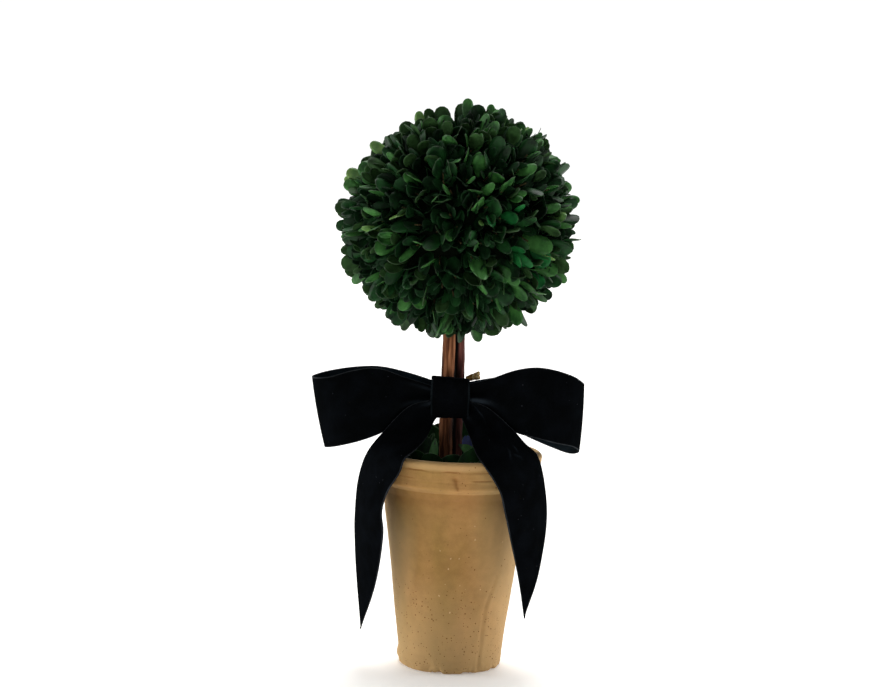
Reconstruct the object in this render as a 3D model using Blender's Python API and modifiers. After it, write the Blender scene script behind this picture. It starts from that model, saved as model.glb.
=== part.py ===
"""A box topiary ball on two sticks, in a buff clay pot, tied with a velvet bow.

Units are metres and +Z is up.  The origin is the centre of the pot's flat
underside, and the bow faces -Y.  Each sub-part is one closed object: the pot,
its filling, the leaves that cover the filling, two sticks, a cut side shoot,
the clipped ball of leaves, and the bow's band, knot, loops and tails.
"""

import math
import random

import bmesh
import bpy
from mathutils import Matrix, Vector

# ---------------------------------------------------------------- dimensions

CLEARANCE = 0.0003          # gap between neighbours that touch
GOLDEN_ANGLE = math.pi * (3 - math.sqrt(5))
MILLIMETRE = 0.001

# Clay pot, a tall taper with a broad grooved collar.
POT_HEIGHT = 0.1552
RIM_RADIUS = 0.0613
RIM_ROUNDING = 0.0026
COLLAR_RADIUS = 0.0600
COLLAR_FOOT = 0.1350        # height of the collar's lower edge
BODY_TOP = 0.1265           # height where the body's straight taper starts
BODY_TOP_RADIUS = 0.0514
FOOT_SWELL_HEIGHT = 0.0058
FOOT_SWELL_RADIUS = 0.0367
FOOT_RADIUS = 0.0342
RIM_EASE = 0.0003           # how far the rim's inner edge lies below its top
COLLAR_EDGE_ROUNDING = 0.0024
COVE_FILL = 0.0016          # clay left in the cove below the collar
FOOT_ROUNDING = 0.0006
GROOVE_HEIGHTS = (0.1487, 0.1428)
GROOVE_HALF_WIDTH = 0.0011
GROOVE_DEPTH = 0.0009
GROOVE_LIP = 0.0004         # swelling of the clay above each groove
WALL = 0.0064
FLOOR = 0.0090
POT_SEGMENTS = 48
FILL_SEGMENTS = 24

# Filling that the sticks stand in, and the leaves laid over it.
FILL_TOP = 0.1405
FILL_CROWN = 0.0015         # how much higher the filling is at its middle
BED_THICKNESS = 0.0042
BED_FALL = 0.0012           # how much lower the bed is where it meets the pot
BED_SPROUTS = 34
BED_LEAF = 0.024
BED_SINK = 0.0022           # how deep the leaves' roots are
BED_ROOT_RING = 0.0149      # from the pot's inside to the outermost roots
BED_LEAN = (12, 24)         # rise of a leaf above level, degrees
BED_SWING = 0.6             # its turn from pointing straight out, radians
BED_LENGTHS = (0.8, 1.1)    # its length over BED_LEAF
BED_STICK_GAP = 0.0010      # least room between one of these leaves and a stick
# Leaves that stand up beside the sticks: root and tip.
UPRIGHT_LEAVES = (
    ((-0.0195, -0.0030, 0.1440), (-0.0165, -0.0020, 0.1630)),
    ((-0.0215, 0.0120, 0.1440), (-0.0135, 0.0100, 0.1690)),
    ((0.0060, 0.0190, 0.1440), (0.0175, 0.0150, 0.1550)),
)

# Sticks: a centre line and a radius that tapers upwards.
STICK_FOOT = 0.092
STICK_TOP = 0.296
LEFT_STICK = (-0.0079, -0.0020)
RIGHT_STICK = (-0.0003, 0.0050)
LEFT_STICK_RADII = (0.00475, 0.00455)
RIGHT_STICK_RADII = (0.00440, 0.00420)
STICK_LEAN = -0.0062        # sideways lean, metres per metre of height
STICK_WAVER = 0.0004
STICK_WAVES = 60            # radians of waver for each metre of height
STICK_STATIONS = 7

# Side shoot, cut short, behind the knot.
SHOOT_ROOT = (0.00535, 0.0036, 0.2058)
SHOOT_TIP = (0.0142, 0.0018, 0.2117)
SHOOT_RADII = (0.00165, 0.00140)

# Clipped ball: a core that sprigs of paired leaves stand out of.
BALL_CENTRE = (-0.0047, 0.0, 0.3180)
BALL_RADIUS = 0.0895        # the space that leaf tips may reach
CORE_RADIUS = 0.0740
SPRIG_COUNT = 84
SPRIG_ROOT = 0.0590         # foot of a sprig's twig, from the ball's centre
SPRIG_REACH = 0.0765        # end of its twig
LOWER_START = 0.0625        # where a sprig's two pairs of leaves spring from it
UPPER_START = 0.0695
TWIG_RADIUS = 0.0011
LOWER_LEAF = 0.0255
UPPER_LEAF = 0.0180
LOWER_SPREAD = 33           # lean of a leaf away from its twig, degrees
UPPER_SPREAD = 17
LEAF_SIDE = (0.42, 0.24)    # corners of a leaf's outline over its length:
LEAF_SHOULDER = (0.82, 0.26)  # distance from its root, and from its middle line
LEAF_THICKEST = 0.58
LEAF_THICKNESS = 0.040      # leaf thickness over its length
SEED = 20
# Sprigs that the shears missed: direction from the ball's centre, and reach.
STRAYS = (
    ((0.00, -0.05, 1.00), 0.0885),
    ((0.20, -0.05, 0.98), 0.0890),
    ((0.40, -0.05, 0.92), 0.0880),
    ((0.65, -0.05, 0.76), 0.0875),
    ((0.95, -0.10, 0.30), 0.0888),
    ((-0.99, -0.08, 0.13), 0.0875),
    ((0.30, 0.80, 0.52), 0.0875),
    ((-0.55, 0.70, -0.45), 0.0868),
)
STRAY_LEAF = 0.0150
SPRIG_STICK_GAP = 0.0040    # least room between a sprig's foot and a stick
LEAF_STICK_GAP = 0.0020     # least room between a leaf's corner and a stick
# The side that was clipped flatter, and how far it lies below the full ball.
FLAT_SIDE = (-0.52, 0.0, 0.85)
FLATTENING = 0.0065
# Scatter about the rule: in a sprig's direction, and in a leaf's lean (degrees),
# roll (radians), length (a factor) and place along its twig.
AIM_SCATTER = 0.06
LEAN_SCATTER = 7
ROLL_SCATTER = 0.3
LENGTH_SCATTER = (0.90, 1.06)
START_SCATTER = 0.001

# Velvet ribbon and its bow.
RIBBON_THICKNESS = 0.0012
KNOT_CENTRE = (-0.0064, -0.0137, 0.1949)
KNOT_SIZE = (0.0264, 0.0128, 0.0284)
KNOT_ROUNDING = 0.0034

# ------------------------------------------------------------------- helpers


def clear_scene():
    """Remove every object that the file starts with."""
    for item in list(bpy.data.objects):
        bpy.data.objects.remove(item, do_unlink=True)


def new_collection(name):
    collection = bpy.data.collections.new(name)
    bpy.context.scene.collection.children.link(collection)
    return collection


def linear(channel):
    """One sRGB channel, 0 to 255, as the linear value that a shader takes."""
    value = channel / 255
    return value / 12.92 if value <= 0.04045 else ((value + 0.055) / 1.055) ** 2.4


def finish(name, colour, roughness):
    """A Principled material from an sRGB colour such as 0xA07D4E; none is metal."""
    material = bpy.data.materials.new(name)
    material.use_nodes = True
    shader = material.node_tree.nodes["Principled BSDF"]
    channels = (colour >> 16 & 255, colour >> 8 & 255, colour & 255)
    shader.inputs["Base Color"].default_value = (*(linear(c) for c in channels), 1)
    shader.inputs["Roughness"].default_value = roughness
    shader.inputs["Metallic"].default_value = 0.0
    return material


def add_bmesh(name, shape, collection, material=None):
    """Turn a bmesh into an object."""
    mesh = bpy.data.meshes.new(name)
    shape.to_mesh(mesh)
    shape.free()
    if material:
        mesh.materials.append(material)
    item = bpy.data.objects.new(name, mesh)
    collection.objects.link(item)
    return item


def evaluated_mesh(item):
    """The mesh that an object's modifiers or curve settings give."""
    graph = bpy.context.evaluated_depsgraph_get()
    return bpy.data.meshes.new_from_object(item.evaluated_get(graph))


def apply_modifiers(item):
    mesh = evaluated_mesh(item)
    item.modifiers.clear()
    item.data = mesh


def shade_round(item, angle=math.radians(35)):
    item.data.shade_smooth()
    item.data.set_sharp_from_angle(angle=angle)


def turned(name, profile, collection, material, segments):
    """A solid of revolution: the profile runs down the shape's outer side."""
    shape = bmesh.new()
    corners = [shape.verts.new((radius, 0, height)) for radius, height in profile]
    for start, end in zip(corners, corners[1:]):
        shape.edges.new((start, end))
    item = add_bmesh(name, shape, collection, material)
    screw = item.modifiers.new("turn", "SCREW")
    screw.steps = segments
    screw.render_steps = segments
    screw.use_merge_vertices = True
    screw.merge_threshold = 0.00001
    return item


def rod(name, points, radii, collection, material=None):
    """A round tapering limb along a centre line, as one closed mesh."""
    curve = bpy.data.curves.new(name, "CURVE")
    curve.dimensions = "3D"
    curve.bevel_depth = 1.0
    curve.bevel_resolution = 4
    curve.use_fill_caps = True
    spline = curve.splines.new("POLY")
    spline.points.add(len(points) - 1)
    for knot, point, radius in zip(spline.points, points, radii):
        knot.co = (*point, 1)
        knot.radius = radius
    guide = bpy.data.objects.new(name + "_guide", curve)
    collection.objects.link(guide)
    shape = bmesh.new()
    shape.from_mesh(evaluated_mesh(guide))
    bmesh.ops.remove_doubles(shape, verts=shape.verts, dist=0.000001)
    bmesh.ops.recalc_face_normals(shape, faces=shape.faces)
    placing = guide.matrix_world.copy()
    bpy.data.objects.remove(guide, do_unlink=True)
    item = add_bmesh(name, shape, collection, material)
    item.matrix_world = placing
    return item


def cut(item, cutters):
    """Cut the cutters out of an object."""
    for cutter in cutters:
        modifier = item.modifiers.new("cut " + cutter.name, "BOOLEAN")
        modifier.operation = "DIFFERENCE"
        modifier.object = cutter


def fuse(item, pieces):
    """Join a collection of closed pieces to an object, and remove them."""
    modifier = item.modifiers.new("fuse", "BOOLEAN")
    modifier.operation = "UNION"
    modifier.operand_type = "COLLECTION"
    modifier.collection = pieces
    modifier.solver = "MANIFOLD"
    apply_modifiers(item)
    for piece in list(pieces.objects):
        bpy.data.objects.remove(piece, do_unlink=True)
    bpy.data.collections.remove(pieces)


# ----------------------------------------------------------------------- pot


def body_radius(height):
    """Outer radius of the pot's straight taper at a height."""
    climb = (height - FOOT_SWELL_HEIGHT) / (BODY_TOP - FOOT_SWELL_HEIGHT)
    return FOOT_SWELL_RADIUS + (BODY_TOP_RADIUS - FOOT_SWELL_RADIUS) * climb


def arc(centre, radius, start, end, count):
    """Points of a profile's arc; the angles are in degrees from +X."""
    points = []
    for step in range(count + 1):
        angle = math.radians(start + (end - start) * step / count)
        points.append((centre[0] + radius * math.cos(angle), centre[1] + radius * math.sin(angle)))
    return points


def inner_radius(height):
    """Radius of the pot's inside at a height."""
    if height <= BODY_TOP:
        return body_radius(height) - WALL
    climb = (height - BODY_TOP) / (POT_HEIGHT - BODY_TOP)
    return body_radius(BODY_TOP) - WALL + (RIM_RADIUS - BODY_TOP_RADIUS) * climb


def make_pot(collection):
    inner_lip = POT_HEIGHT - RIM_ROUNDING
    profile = [(0, FLOOR), (inner_radius(FLOOR), FLOOR)]
    profile.append((inner_radius(BODY_TOP), BODY_TOP))
    profile.append((inner_radius(inner_lip), inner_lip))
    lip_centre = (RIM_RADIUS - RIM_ROUNDING, inner_lip)
    profile.append((inner_radius(POT_HEIGHT) + RIM_ROUNDING / 2, POT_HEIGHT - RIM_EASE))
    profile.extend(arc(lip_centre, RIM_ROUNDING, 90, 0, 3))
    for height in GROOVE_HEIGHTS:
        profile.append((COLLAR_RADIUS + GROOVE_LIP, height + GROOVE_HALF_WIDTH))
        profile.append((COLLAR_RADIUS + GROOVE_LIP - GROOVE_DEPTH, height))
        profile.append((COLLAR_RADIUS, height - GROOVE_HALF_WIDTH))
    edge_centre = (COLLAR_RADIUS - COLLAR_EDGE_ROUNDING, COLLAR_FOOT + COLLAR_EDGE_ROUNDING)
    profile.extend(arc(edge_centre, COLLAR_EDGE_ROUNDING, 0, -70, 2))
    cove_middle = (COLLAR_FOOT + BODY_TOP) / 2
    profile.append((body_radius(cove_middle) + COVE_FILL, cove_middle))
    profile.append((BODY_TOP_RADIUS, BODY_TOP))
    profile.append((FOOT_SWELL_RADIUS, FOOT_SWELL_HEIGHT))
    profile.append(((FOOT_SWELL_RADIUS + FOOT_RADIUS) / 2 + FOOT_ROUNDING, FOOT_SWELL_HEIGHT / 3))
    profile.append((FOOT_RADIUS, 0))
    profile.append((0, 0))
    clay = finish("buff clay", 0xA07D4E, 0.85)
    pot = turned("pot", profile, collection, clay, POT_SEGMENTS)
    shade_round(pot)
    return pot


def make_fill(collection, sockets):
    """The filling: a plug that is clear of the pot, with sockets for the sticks."""
    bottom = FLOOR + CLEARANCE
    profile = [(0, FILL_TOP + FILL_CROWN)]
    profile.append((inner_radius(FILL_TOP) - CLEARANCE, FILL_TOP))
    profile.append((inner_radius(BODY_TOP) - CLEARANCE, BODY_TOP))
    profile.append((inner_radius(bottom) - CLEARANCE, bottom))
    profile.append((0, bottom))
    fill = turned("pot_fill", profile, collection, finish("dry filling", 0x2C2A1C, 0.95), FILL_SEGMENTS)
    cut(fill, sockets)
    return fill


# -------------------------------------------------------------------- sticks


def stick_line(foot, phase):
    """Centre line of a stick that leans a little and wavers as grown wood does."""
    points = []
    for step in range(STICK_STATIONS):
        height = STICK_FOOT + (STICK_TOP - STICK_FOOT) * step / (STICK_STATIONS - 1)
        sway = STICK_WAVER * math.sin(height * STICK_WAVES + phase)
        rise = height - POT_HEIGHT
        points.append(Vector((foot[0] + STICK_LEAN * rise + sway, foot[1] + sway / 2, height)))
    return points


def taper(radii, count, extra=0.0):
    return [radii[0] + (radii[1] - radii[0]) * step / (count - 1) + extra for step in range(count)]


def make_sticks(collection, cutters):
    """Two sticks side by side, and the fatter rods that cut their sockets."""
    bark = finish("brown bark", 0x5B3426, 0.7)
    sockets = []
    rows = (("stick_left", LEFT_STICK, LEFT_STICK_RADII, 0.4),
            ("stick_right", RIGHT_STICK, RIGHT_STICK_RADII, 2.2))
    for name, foot, radii, phase in rows:
        line = stick_line(foot, phase)
        stick = rod(name, line, taper(radii, STICK_STATIONS), collection, bark)
        shade_round(stick)
        beyond = (line[-1] - line[-2]).normalized() * CLEARANCE
        longer = [line[0] - beyond] + line[1:-1] + [line[-1] + beyond]
        socket = rod(name + "_socket", longer, taper(radii, STICK_STATIONS, CLEARANCE * 1.2), cutters)
        socket.hide_render = True
        socket.display_type = "WIRE"
        sockets.append(socket)
    shoot = rod("side_shoot", [Vector(SHOOT_ROOT), Vector(SHOOT_TIP)], SHOOT_RADII, collection, bark)
    shade_round(shoot)
    return sockets


# -------------------------------------------------------------------- leaves


def leaf_pattern():
    """One leaf of twelve faces and length 1 along +X, broadest past its middle."""
    shape = bmesh.new()
    bmesh.ops.create_uvsphere(shape, u_segments=6, v_segments=2, radius=1.0)
    tip_on_x = Matrix.Rotation(math.pi / 2, 3, "Z")
    bmesh.ops.rotate(shape, verts=shape.verts, matrix=tip_on_x)
    for corner in shape.verts:
        if abs(corner.co.z) > 0.5:
            corner.co = Vector((LEAF_THICKEST, 0, math.copysign(LEAF_THICKNESS / 2, corner.co.z)))
        elif abs(corner.co.y) < 0.1:
            corner.co = Vector((1 if corner.co.x > 0 else 0, 0, 0))
        else:
            along, half = LEAF_SHOULDER if corner.co.x > 0 else LEAF_SIDE
            corner.co = Vector((along, math.copysign(half, corner.co.y), 0))
    bmesh.ops.recalc_face_normals(shape, faces=shape.faces)
    mesh = bpy.data.meshes.new("leaf pattern")
    shape.to_mesh(mesh)
    shape.free()
    return mesh


def twig_pattern():
    """One three-sided twig of length 1 along +X and radius 1 at its root."""
    shape = bmesh.new()
    bmesh.ops.create_cone(shape, cap_ends=True, segments=3, radius1=1.0, radius2=0.6, depth=1.0)
    bmesh.ops.translate(shape, verts=shape.verts, vec=(0, 0, 0.5))
    bmesh.ops.rotate(shape, verts=shape.verts, matrix=Matrix.Rotation(math.pi / 2, 3, "Y"))
    mesh = bpy.data.meshes.new("twig pattern")
    shape.to_mesh(mesh)
    shape.free()
    return mesh


def frame_along(axis, side, origin, lengths):
    """A placing whose X runs along axis, with Y near side, scaled by lengths."""
    x_axis = axis.normalized()
    z_axis = x_axis.cross(side).normalized()
    y_axis = z_axis.cross(x_axis)
    turn = Matrix((x_axis, y_axis, z_axis)).transposed().to_4x4()
    return Matrix.Translation(origin) @ turn @ Matrix.Diagonal((*lengths, 1))


def place_piece(mesh, placing, pieces):
    piece = bpy.data.objects.new("piece", mesh)
    piece.matrix_world = placing
    pieces.objects.link(piece)


def leaf_points(root, axis, side, length):
    """The corners of a leaf that must stay inside its mass's space."""
    points = [root + axis * length]
    for along, half in (LEAF_SIDE, LEAF_SHOULDER):
        for sign in (-1, 1):
            points.append(root + axis * length * along + side.normalized() * length * half * sign)
    return points


def spread_directions(count):
    """Directions spread evenly over a sphere by the golden angle."""
    for index in range(count):
        height = 1 - 2 * (index + 0.5) / count
        ring = math.sqrt(1 - height * height)
        turn = GOLDEN_ANGLE * index
        yield Vector((ring * math.cos(turn), ring * math.sin(turn), height))


def near_sticks(point, margin):
    """True if a point of the plant is closer than margin to either stick's surface."""
    for foot, radii in ((LEFT_STICK, LEFT_STICK_RADII), (RIGHT_STICK, RIGHT_STICK_RADII)):
        centre_x = foot[0] + STICK_LEAN * (point.z - POT_HEIGHT)
        away = math.hypot(point.x - centre_x, point.y - foot[1])
        if point.z < STICK_TOP and away < radii[0] + STICK_WAVER + margin:
            return True
    return False


def clipping(direction):
    """Share of the ball's full radius that the shears left in a direction."""
    facing = max(0.0, direction.dot(Vector(FLAT_SIDE).normalized()))
    return 1 - FLATTENING / BALL_RADIUS * facing ** 3


def add_sprig(direction, reach, rows, chance, patterns, pieces):
    """One sprig: a twig out of the core with crossed pairs of leaves.

    Each row is a pair: its distance from the ball's centre, the leaves' length
    and their lean.  What would leave the ball's space or touch a stick is skipped.
    """
    centre = Vector(BALL_CENTRE)
    leaf, twig = patterns
    upright = Vector((0, 0, 1)) if abs(direction.z) < 0.9 else Vector((1, 0, 0))
    side = direction.cross(upright).normalized()
    side = Matrix.Rotation(chance.uniform(0, math.tau), 3, direction) @ side
    if near_sticks(centre + direction * CORE_RADIUS, SPRIG_STICK_GAP):
        return
    share = clipping(direction)
    lengths = (reach * share - SPRIG_ROOT, TWIG_RADIUS, TWIG_RADIUS)
    place_piece(twig, frame_along(direction, side, centre + direction * SPRIG_ROOT, lengths), pieces)
    for row, (start, size, spread) in enumerate(rows):
        for sign in (-1, 1):
            lean = math.radians(spread + chance.uniform(-LEAN_SCATTER, LEAN_SCATTER))
            outward = Matrix.Rotation(math.pi / 2 * row, 3, direction) @ side * sign
            axis = direction * math.cos(lean) + outward * math.sin(lean)
            length = size * chance.uniform(*LENGTH_SCATTER)
            base = centre + direction * (start * share + chance.uniform(-START_SCATTER, START_SCATTER))
            roll = Matrix.Rotation(chance.uniform(-ROLL_SCATTER, ROLL_SCATTER), 3, axis)
            across = roll @ direction.cross(outward)
            points = leaf_points(base, axis, across, length)
            if max((point - centre).length for point in points) > BALL_RADIUS:
                continue
            if any(near_sticks(point, LEAF_STICK_GAP) for point in points):
                continue
            place_piece(leaf, frame_along(axis, across, base, (length, length, length)), pieces)


def make_ball(collection, sockets):
    """The clipped ball: core, twigs and leaves fused, cut clear of the sticks."""
    shape = bmesh.new()
    bmesh.ops.create_icosphere(shape, subdivisions=3, radius=CORE_RADIUS)
    green = finish("dark box leaf", 0x1F3B1E, 0.55)
    ball = add_bmesh("foliage_ball", shape, collection, green)
    ball.location = BALL_CENTRE
    pieces = new_collection("ball pieces")
    chance = random.Random(SEED)
    patterns = (leaf_pattern(), twig_pattern())
    crossed = ((LOWER_START, LOWER_LEAF, LOWER_SPREAD), (UPPER_START, UPPER_LEAF, UPPER_SPREAD))
    for direction in spread_directions(SPRIG_COUNT):
        jitter = Vector([chance.uniform(-AIM_SCATTER, AIM_SCATTER) for _ in range(3)])
        add_sprig((direction + jitter).normalized(), SPRIG_REACH, crossed, chance, patterns, pieces)
    for direction, reach in STRAYS:
        start = reach - STRAY_LEAF
        tip = ((start, STRAY_LEAF, UPPER_SPREAD),)
        twig_end = start + STRAY_LEAF / 3
        add_sprig(Vector(direction).normalized(), twig_end, tip, chance, patterns, pieces)
    bpy.context.view_layer.update()
    fuse(ball, pieces)
    cut(ball, sockets)
    return ball


def make_bed(collection, sockets):
    """Larger leaves that lie over the filling and reach up to the rim."""
    bottom = FILL_TOP + FILL_CROWN + CLEARANCE
    top = bottom + BED_THICKNESS
    edge = inner_radius(bottom) - 2 * CLEARANCE
    profile = [(0, top), (edge, top - BED_FALL), (edge, bottom), (0, bottom)]
    green = finish("dark cover leaf", 0x1B3720, 0.5)
    bed = turned("pot_leaves", profile, collection, green, FILL_SEGMENTS)
    apply_modifiers(bed)
    pieces = new_collection("bed pieces")
    chance = random.Random(SEED + 1)
    leaf = leaf_pattern()
    for index in range(1, BED_SPROUTS + 1):
        ring = math.sqrt(index / BED_SPROUTS) * (edge - BED_ROOT_RING)
        outward = Matrix.Rotation(GOLDEN_ANGLE * index, 3, "Z") @ Vector((1, 0, 0))
        base = outward * ring + Vector((0, 0, top - BED_SINK))
        lean = math.radians(chance.uniform(*BED_LEAN))
        level = Matrix.Rotation(chance.uniform(-BED_SWING, BED_SWING), 3, "Z") @ outward
        axis = level * math.cos(lean) + Vector((0, 0, math.sin(lean)))
        length = BED_LEAF * chance.uniform(*BED_LENGTHS)
        side = axis.cross(Vector((0, 0, 1))).normalized()
        points = leaf_points(base, axis, side, length)
        if max(math.hypot(point.x, point.y) for point in points) > edge:
            continue
        if any(near_sticks(point, BED_STICK_GAP) for point in (base, *points)):
            continue
        place_piece(leaf, frame_along(axis, side, base, (length, length, length)), pieces)
    for root, tip in UPRIGHT_LEAVES:
        rise = Vector(tip) - Vector(root)
        lengths = (rise.length, rise.length, rise.length)
        place_piece(leaf, frame_along(rise, Vector((1, 0, 0)), Vector(root), lengths), pieces)
    bpy.context.view_layer.update()
    fuse(bed, pieces)
    cut(bed, sockets)
    return bed


# ----------------------------------------------------------------------- bow

# Each station of a ribbon is its upper or outer edge point, its lower or inner
# edge point, and how far its middle bellies away from the stem or the pot, all
# in millimetres.
LOOP_LEFT = (
    ((-20.0, -17.0, 201.5), (-20.0, -17.0, 188.0), 0.0),
    ((-38.5, -20.0, 208.6), (-34.8, -20.0, 182.2), 1.2),
    ((-58.0, -26.0, 215.4), (-51.0, -25.5, 170.8), 2.0),
    ((-75.0, -30.0, 213.6), (-66.5, -29.0, 164.4), 2.0),
    ((-91.0, -30.0, 208.6), (-81.0, -29.0, 160.2), 1.5),
    ((-101.0, -23.0, 206.8), (-91.0, -22.0, 157.4), 0.8),
    ((-103.6, -13.0, 206.4), (-93.4, -12.5, 156.9), 0.8),
    ((-101.0, -3.0, 206.9), (-91.0, -3.0, 157.6), 0.8),
    ((-91.0, 2.5, 209.2), (-81.5, 2.5, 160.6), 1.5),
    ((-75.0, 3.0, 212.0), (-67.0, 3.0, 165.0), 2.0),
    ((-58.0, 0.0, 213.4), (-51.5, 0.0, 172.0), 1.6),
    ((-40.0, -4.8, 211.2), (-36.0, -4.6, 181.5), 0.8),
    ((-20.0, -9.6, 206.0), (-20.0, -9.6, 189.0), 0.0),
)
LOOP_RIGHT = (
    ((7.2, -17.0, 204.5), (7.2, -17.0, 188.0), 0.0),
    ((22.3, -20.0, 209.4), (20.6, -20.0, 184.2), 1.2),
    ((38.0, -24.0, 216.2), (40.0, -24.0, 173.0), 2.0),
    ((52.5, -27.0, 219.4), (56.5, -27.0, 169.2), 2.0),
    ((66.0, -27.5, 218.2), (70.0, -27.5, 166.2), 1.6),
    ((80.0, -23.5, 213.6), (81.5, -22.5, 163.4), 0.8),
    ((88.0, -12.5, 207.2), (86.6, -9.5, 158.2), 0.8),
    ((84.5, -2.0, 207.4), (81.5, 2.0, 154.6), 0.8),
    ((70.0, 3.0, 209.0), (67.5, 5.0, 158.4), 1.6),
    ((53.0, 3.0, 210.4), (50.5, 4.0, 165.4), 2.0),
    ((36.0, 0.0, 210.0), (34.0, 0.0, 173.6), 1.6),
    ((20.5, -5.0, 207.6), (19.0, -5.0, 184.2), 0.8),
    ((7.2, -9.6, 204.0), (7.2, -9.6, 190.0), 0.0),
)
TAIL_LEFT = (
    ((-23.8, -12.0, 188.0), (-16.6, -12.5, 176.3), 0.0),
    ((-35.5, -15.0, 184.0), (-21.5, -27.0, 167.5), 1.5),
    ((-50.5, -17.5, 171.0), (-29.5, -43.0, 160.0), 3.5),
    ((-60.6, -18.5, 157.5), (-36.0, -55.0, 156.0), 5.0),
    ((-66.3, -14.0, 143.9), (-40.0, -56.5, 146.4), 4.0),
    ((-70.3, -9.0, 126.4), (-47.0, -53.5, 133.0), 3.0),
    ((-71.2, -7.0, 106.0), (-50.4, -52.5, 118.0), 3.0),
    ((-69.8, -6.0, 87.0), (-49.8, -51.0, 101.0), 3.0),
    ((-67.6, -5.0, 56.0), (-55.0, -32.0, 62.0), 1.5),
    ((-65.1, -4.0, 25.0), (-64.8, -4.8, 23.2), 0.0),
)
TAIL_RIGHT = (
    ((11.2, -12.0, 187.5), (2.6, -12.5, 174.2), 0.0),
    ((21.5, -15.0, 185.5), (5.5, -28.0, 167.5), 1.5),
    ((38.5, -17.5, 173.8), (11.6, -48.0, 162.4), 3.0),
    ((48.0, -20.5, 163.6), (18.6, -61.0, 156.2), 4.5),
    ((56.0, -24.5, 156.8), (25.0, -64.5, 146.4), 5.0),
    ((61.0, -26.0, 144.6), (30.3, -63.5, 136.4), 4.0),
    ((63.6, -27.0, 130.0), (33.2, -63.0, 124.0), 3.0),
    ((64.2, -27.5, 114.0), (37.4, -59.5, 109.0), 3.0),
    ((63.1, -28.0, 93.2), (41.8, -53.5, 92.0), 2.0),
    ((59.6, -29.5, 68.0), (46.2, -44.0, 70.0), 1.0),
    ((51.5, -32.0, 43.0), (51.0, -32.6, 41.4), 0.0),
)
# The band round the stem, seen from above, with the heights of its two edges.
BAND_TOP = 202.5
BAND_BOTTOM = 185.0
BAND_LINE = (
    (-13.9, -6.5), (-14.0, -2.0), (-12.3, 2.2), (-8.4, 5.8), (-4.6, 9.2),
    (-0.8, 10.6), (3.4, 8.8), (4.9, 4.8), (4.9, -0.5), (4.6, -6.5),
)


def smooth(points, per_span):
    """Points, or numbers, along a Catmull-Rom curve through the given ones."""
    line = [2 * points[0] - points[1], *points, 2 * points[-1] - points[-2]]
    path = []
    for before, start, end, after in zip(line, line[1:], line[2:], line[3:]):
        for step in range(per_span):
            t = step / per_span
            path.append(0.5 * (2 * start + (end - before) * t
                               + (2 * before - 5 * start + 4 * end - after) * t ** 2
                               + (3 * start - before - 3 * end + after) * t ** 3))
    path.append(points[-1])
    return path


def ribbon(name, stations, collection, material, facing=1, per_span=2, across=4):
    """A length of ribbon lofted through stations, then given its thickness.

    Its belly goes to the right of its run where facing is 1, and else to the left.
    """
    upper = smooth([Vector(station[0]) * MILLIMETRE for station in stations], per_span)
    lower = smooth([Vector(station[1]) * MILLIMETRE for station in stations], per_span)
    belly = smooth([station[2] * MILLIMETRE for station in stations], per_span)
    shape = bmesh.new()
    rows = []
    for index, (top, bottom) in enumerate(zip(upper, lower)):
        after = min(index + 1, len(upper) - 1)
        before = max(index - 1, 0)
        along = (upper[after] + lower[after]) - (upper[before] + lower[before])
        normal = along.cross(top - bottom).normalized()
        row = []
        for step in range(across + 1):
            place = step / across
            swell = facing * belly[index] * 4 * place * (1 - place)
            row.append(shape.verts.new(top.lerp(bottom, place) + normal * swell))
        rows.append(row)
    for row, following in zip(rows, rows[1:]):
        for corners in zip(row, row[1:], following[1:], following):
            shape.faces.new(corners)
    item = add_bmesh(name, shape, collection, material)
    skin = item.modifiers.new("thickness", "SOLIDIFY")
    skin.thickness = RIBBON_THICKNESS
    skin.offset = 0
    skin.use_even_offset = True
    shade_round(item)
    return item


def make_bow(collection):
    velvet = finish("black velvet", 0x0B0D12, 0.9)
    bpy.ops.mesh.primitive_cube_add(size=1, location=KNOT_CENTRE)
    knot = bpy.context.object
    knot.name = "bow_knot"
    knot.data.transform(Matrix.Diagonal((*KNOT_SIZE, 1)))
    knot.data.materials.append(velvet)
    for holder in list(knot.users_collection):
        holder.objects.unlink(knot)
    collection.objects.link(knot)
    edge = knot.modifiers.new("soft edge", "BEVEL")
    edge.width = KNOT_ROUNDING
    edge.segments = 3
    shade_round(knot, math.radians(60))
    ribbon("bow_loop_left", LOOP_LEFT, collection, velvet, facing=-1)
    ribbon("bow_loop_right", LOOP_RIGHT, collection, velvet)
    ribbon("bow_tail_left", TAIL_LEFT, collection, velvet, facing=-1)
    ribbon("bow_tail_right", TAIL_RIGHT, collection, velvet)
    band = []
    for x, y in BAND_LINE:
        band.append(((x, y, BAND_TOP), (x, y, BAND_BOTTOM), 0.0))
    ribbon("bow_band", band, collection, velvet, across=1)


def main():
    clear_scene()
    parts = new_collection("box_topiary_ball")
    cutters = new_collection("cutters")
    make_pot(parts)
    sockets = make_sticks(parts, cutters)
    make_fill(parts, sockets)
    make_bed(parts, sockets)
    make_ball(parts, sockets)
    make_bow(parts)


main()
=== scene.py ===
# %% [markdown]
# # A box topiary ball, dressed on a fixed frame
# The real thing is a ball of preserved box leaves on two sticks, planted in a tall clay pot and
# tied with a wide velvet bow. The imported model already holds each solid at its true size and
# place. It is loaded as a frame that never moves, and every step below builds the surface that
# the eye sees over one of its solids. Lengths are metres, +Z is up, and the bow faces -Y.

# %% Load the fixed frame
import math
import random

import bmesh
import bpy
from mathutils import Matrix, Vector, noise


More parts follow.
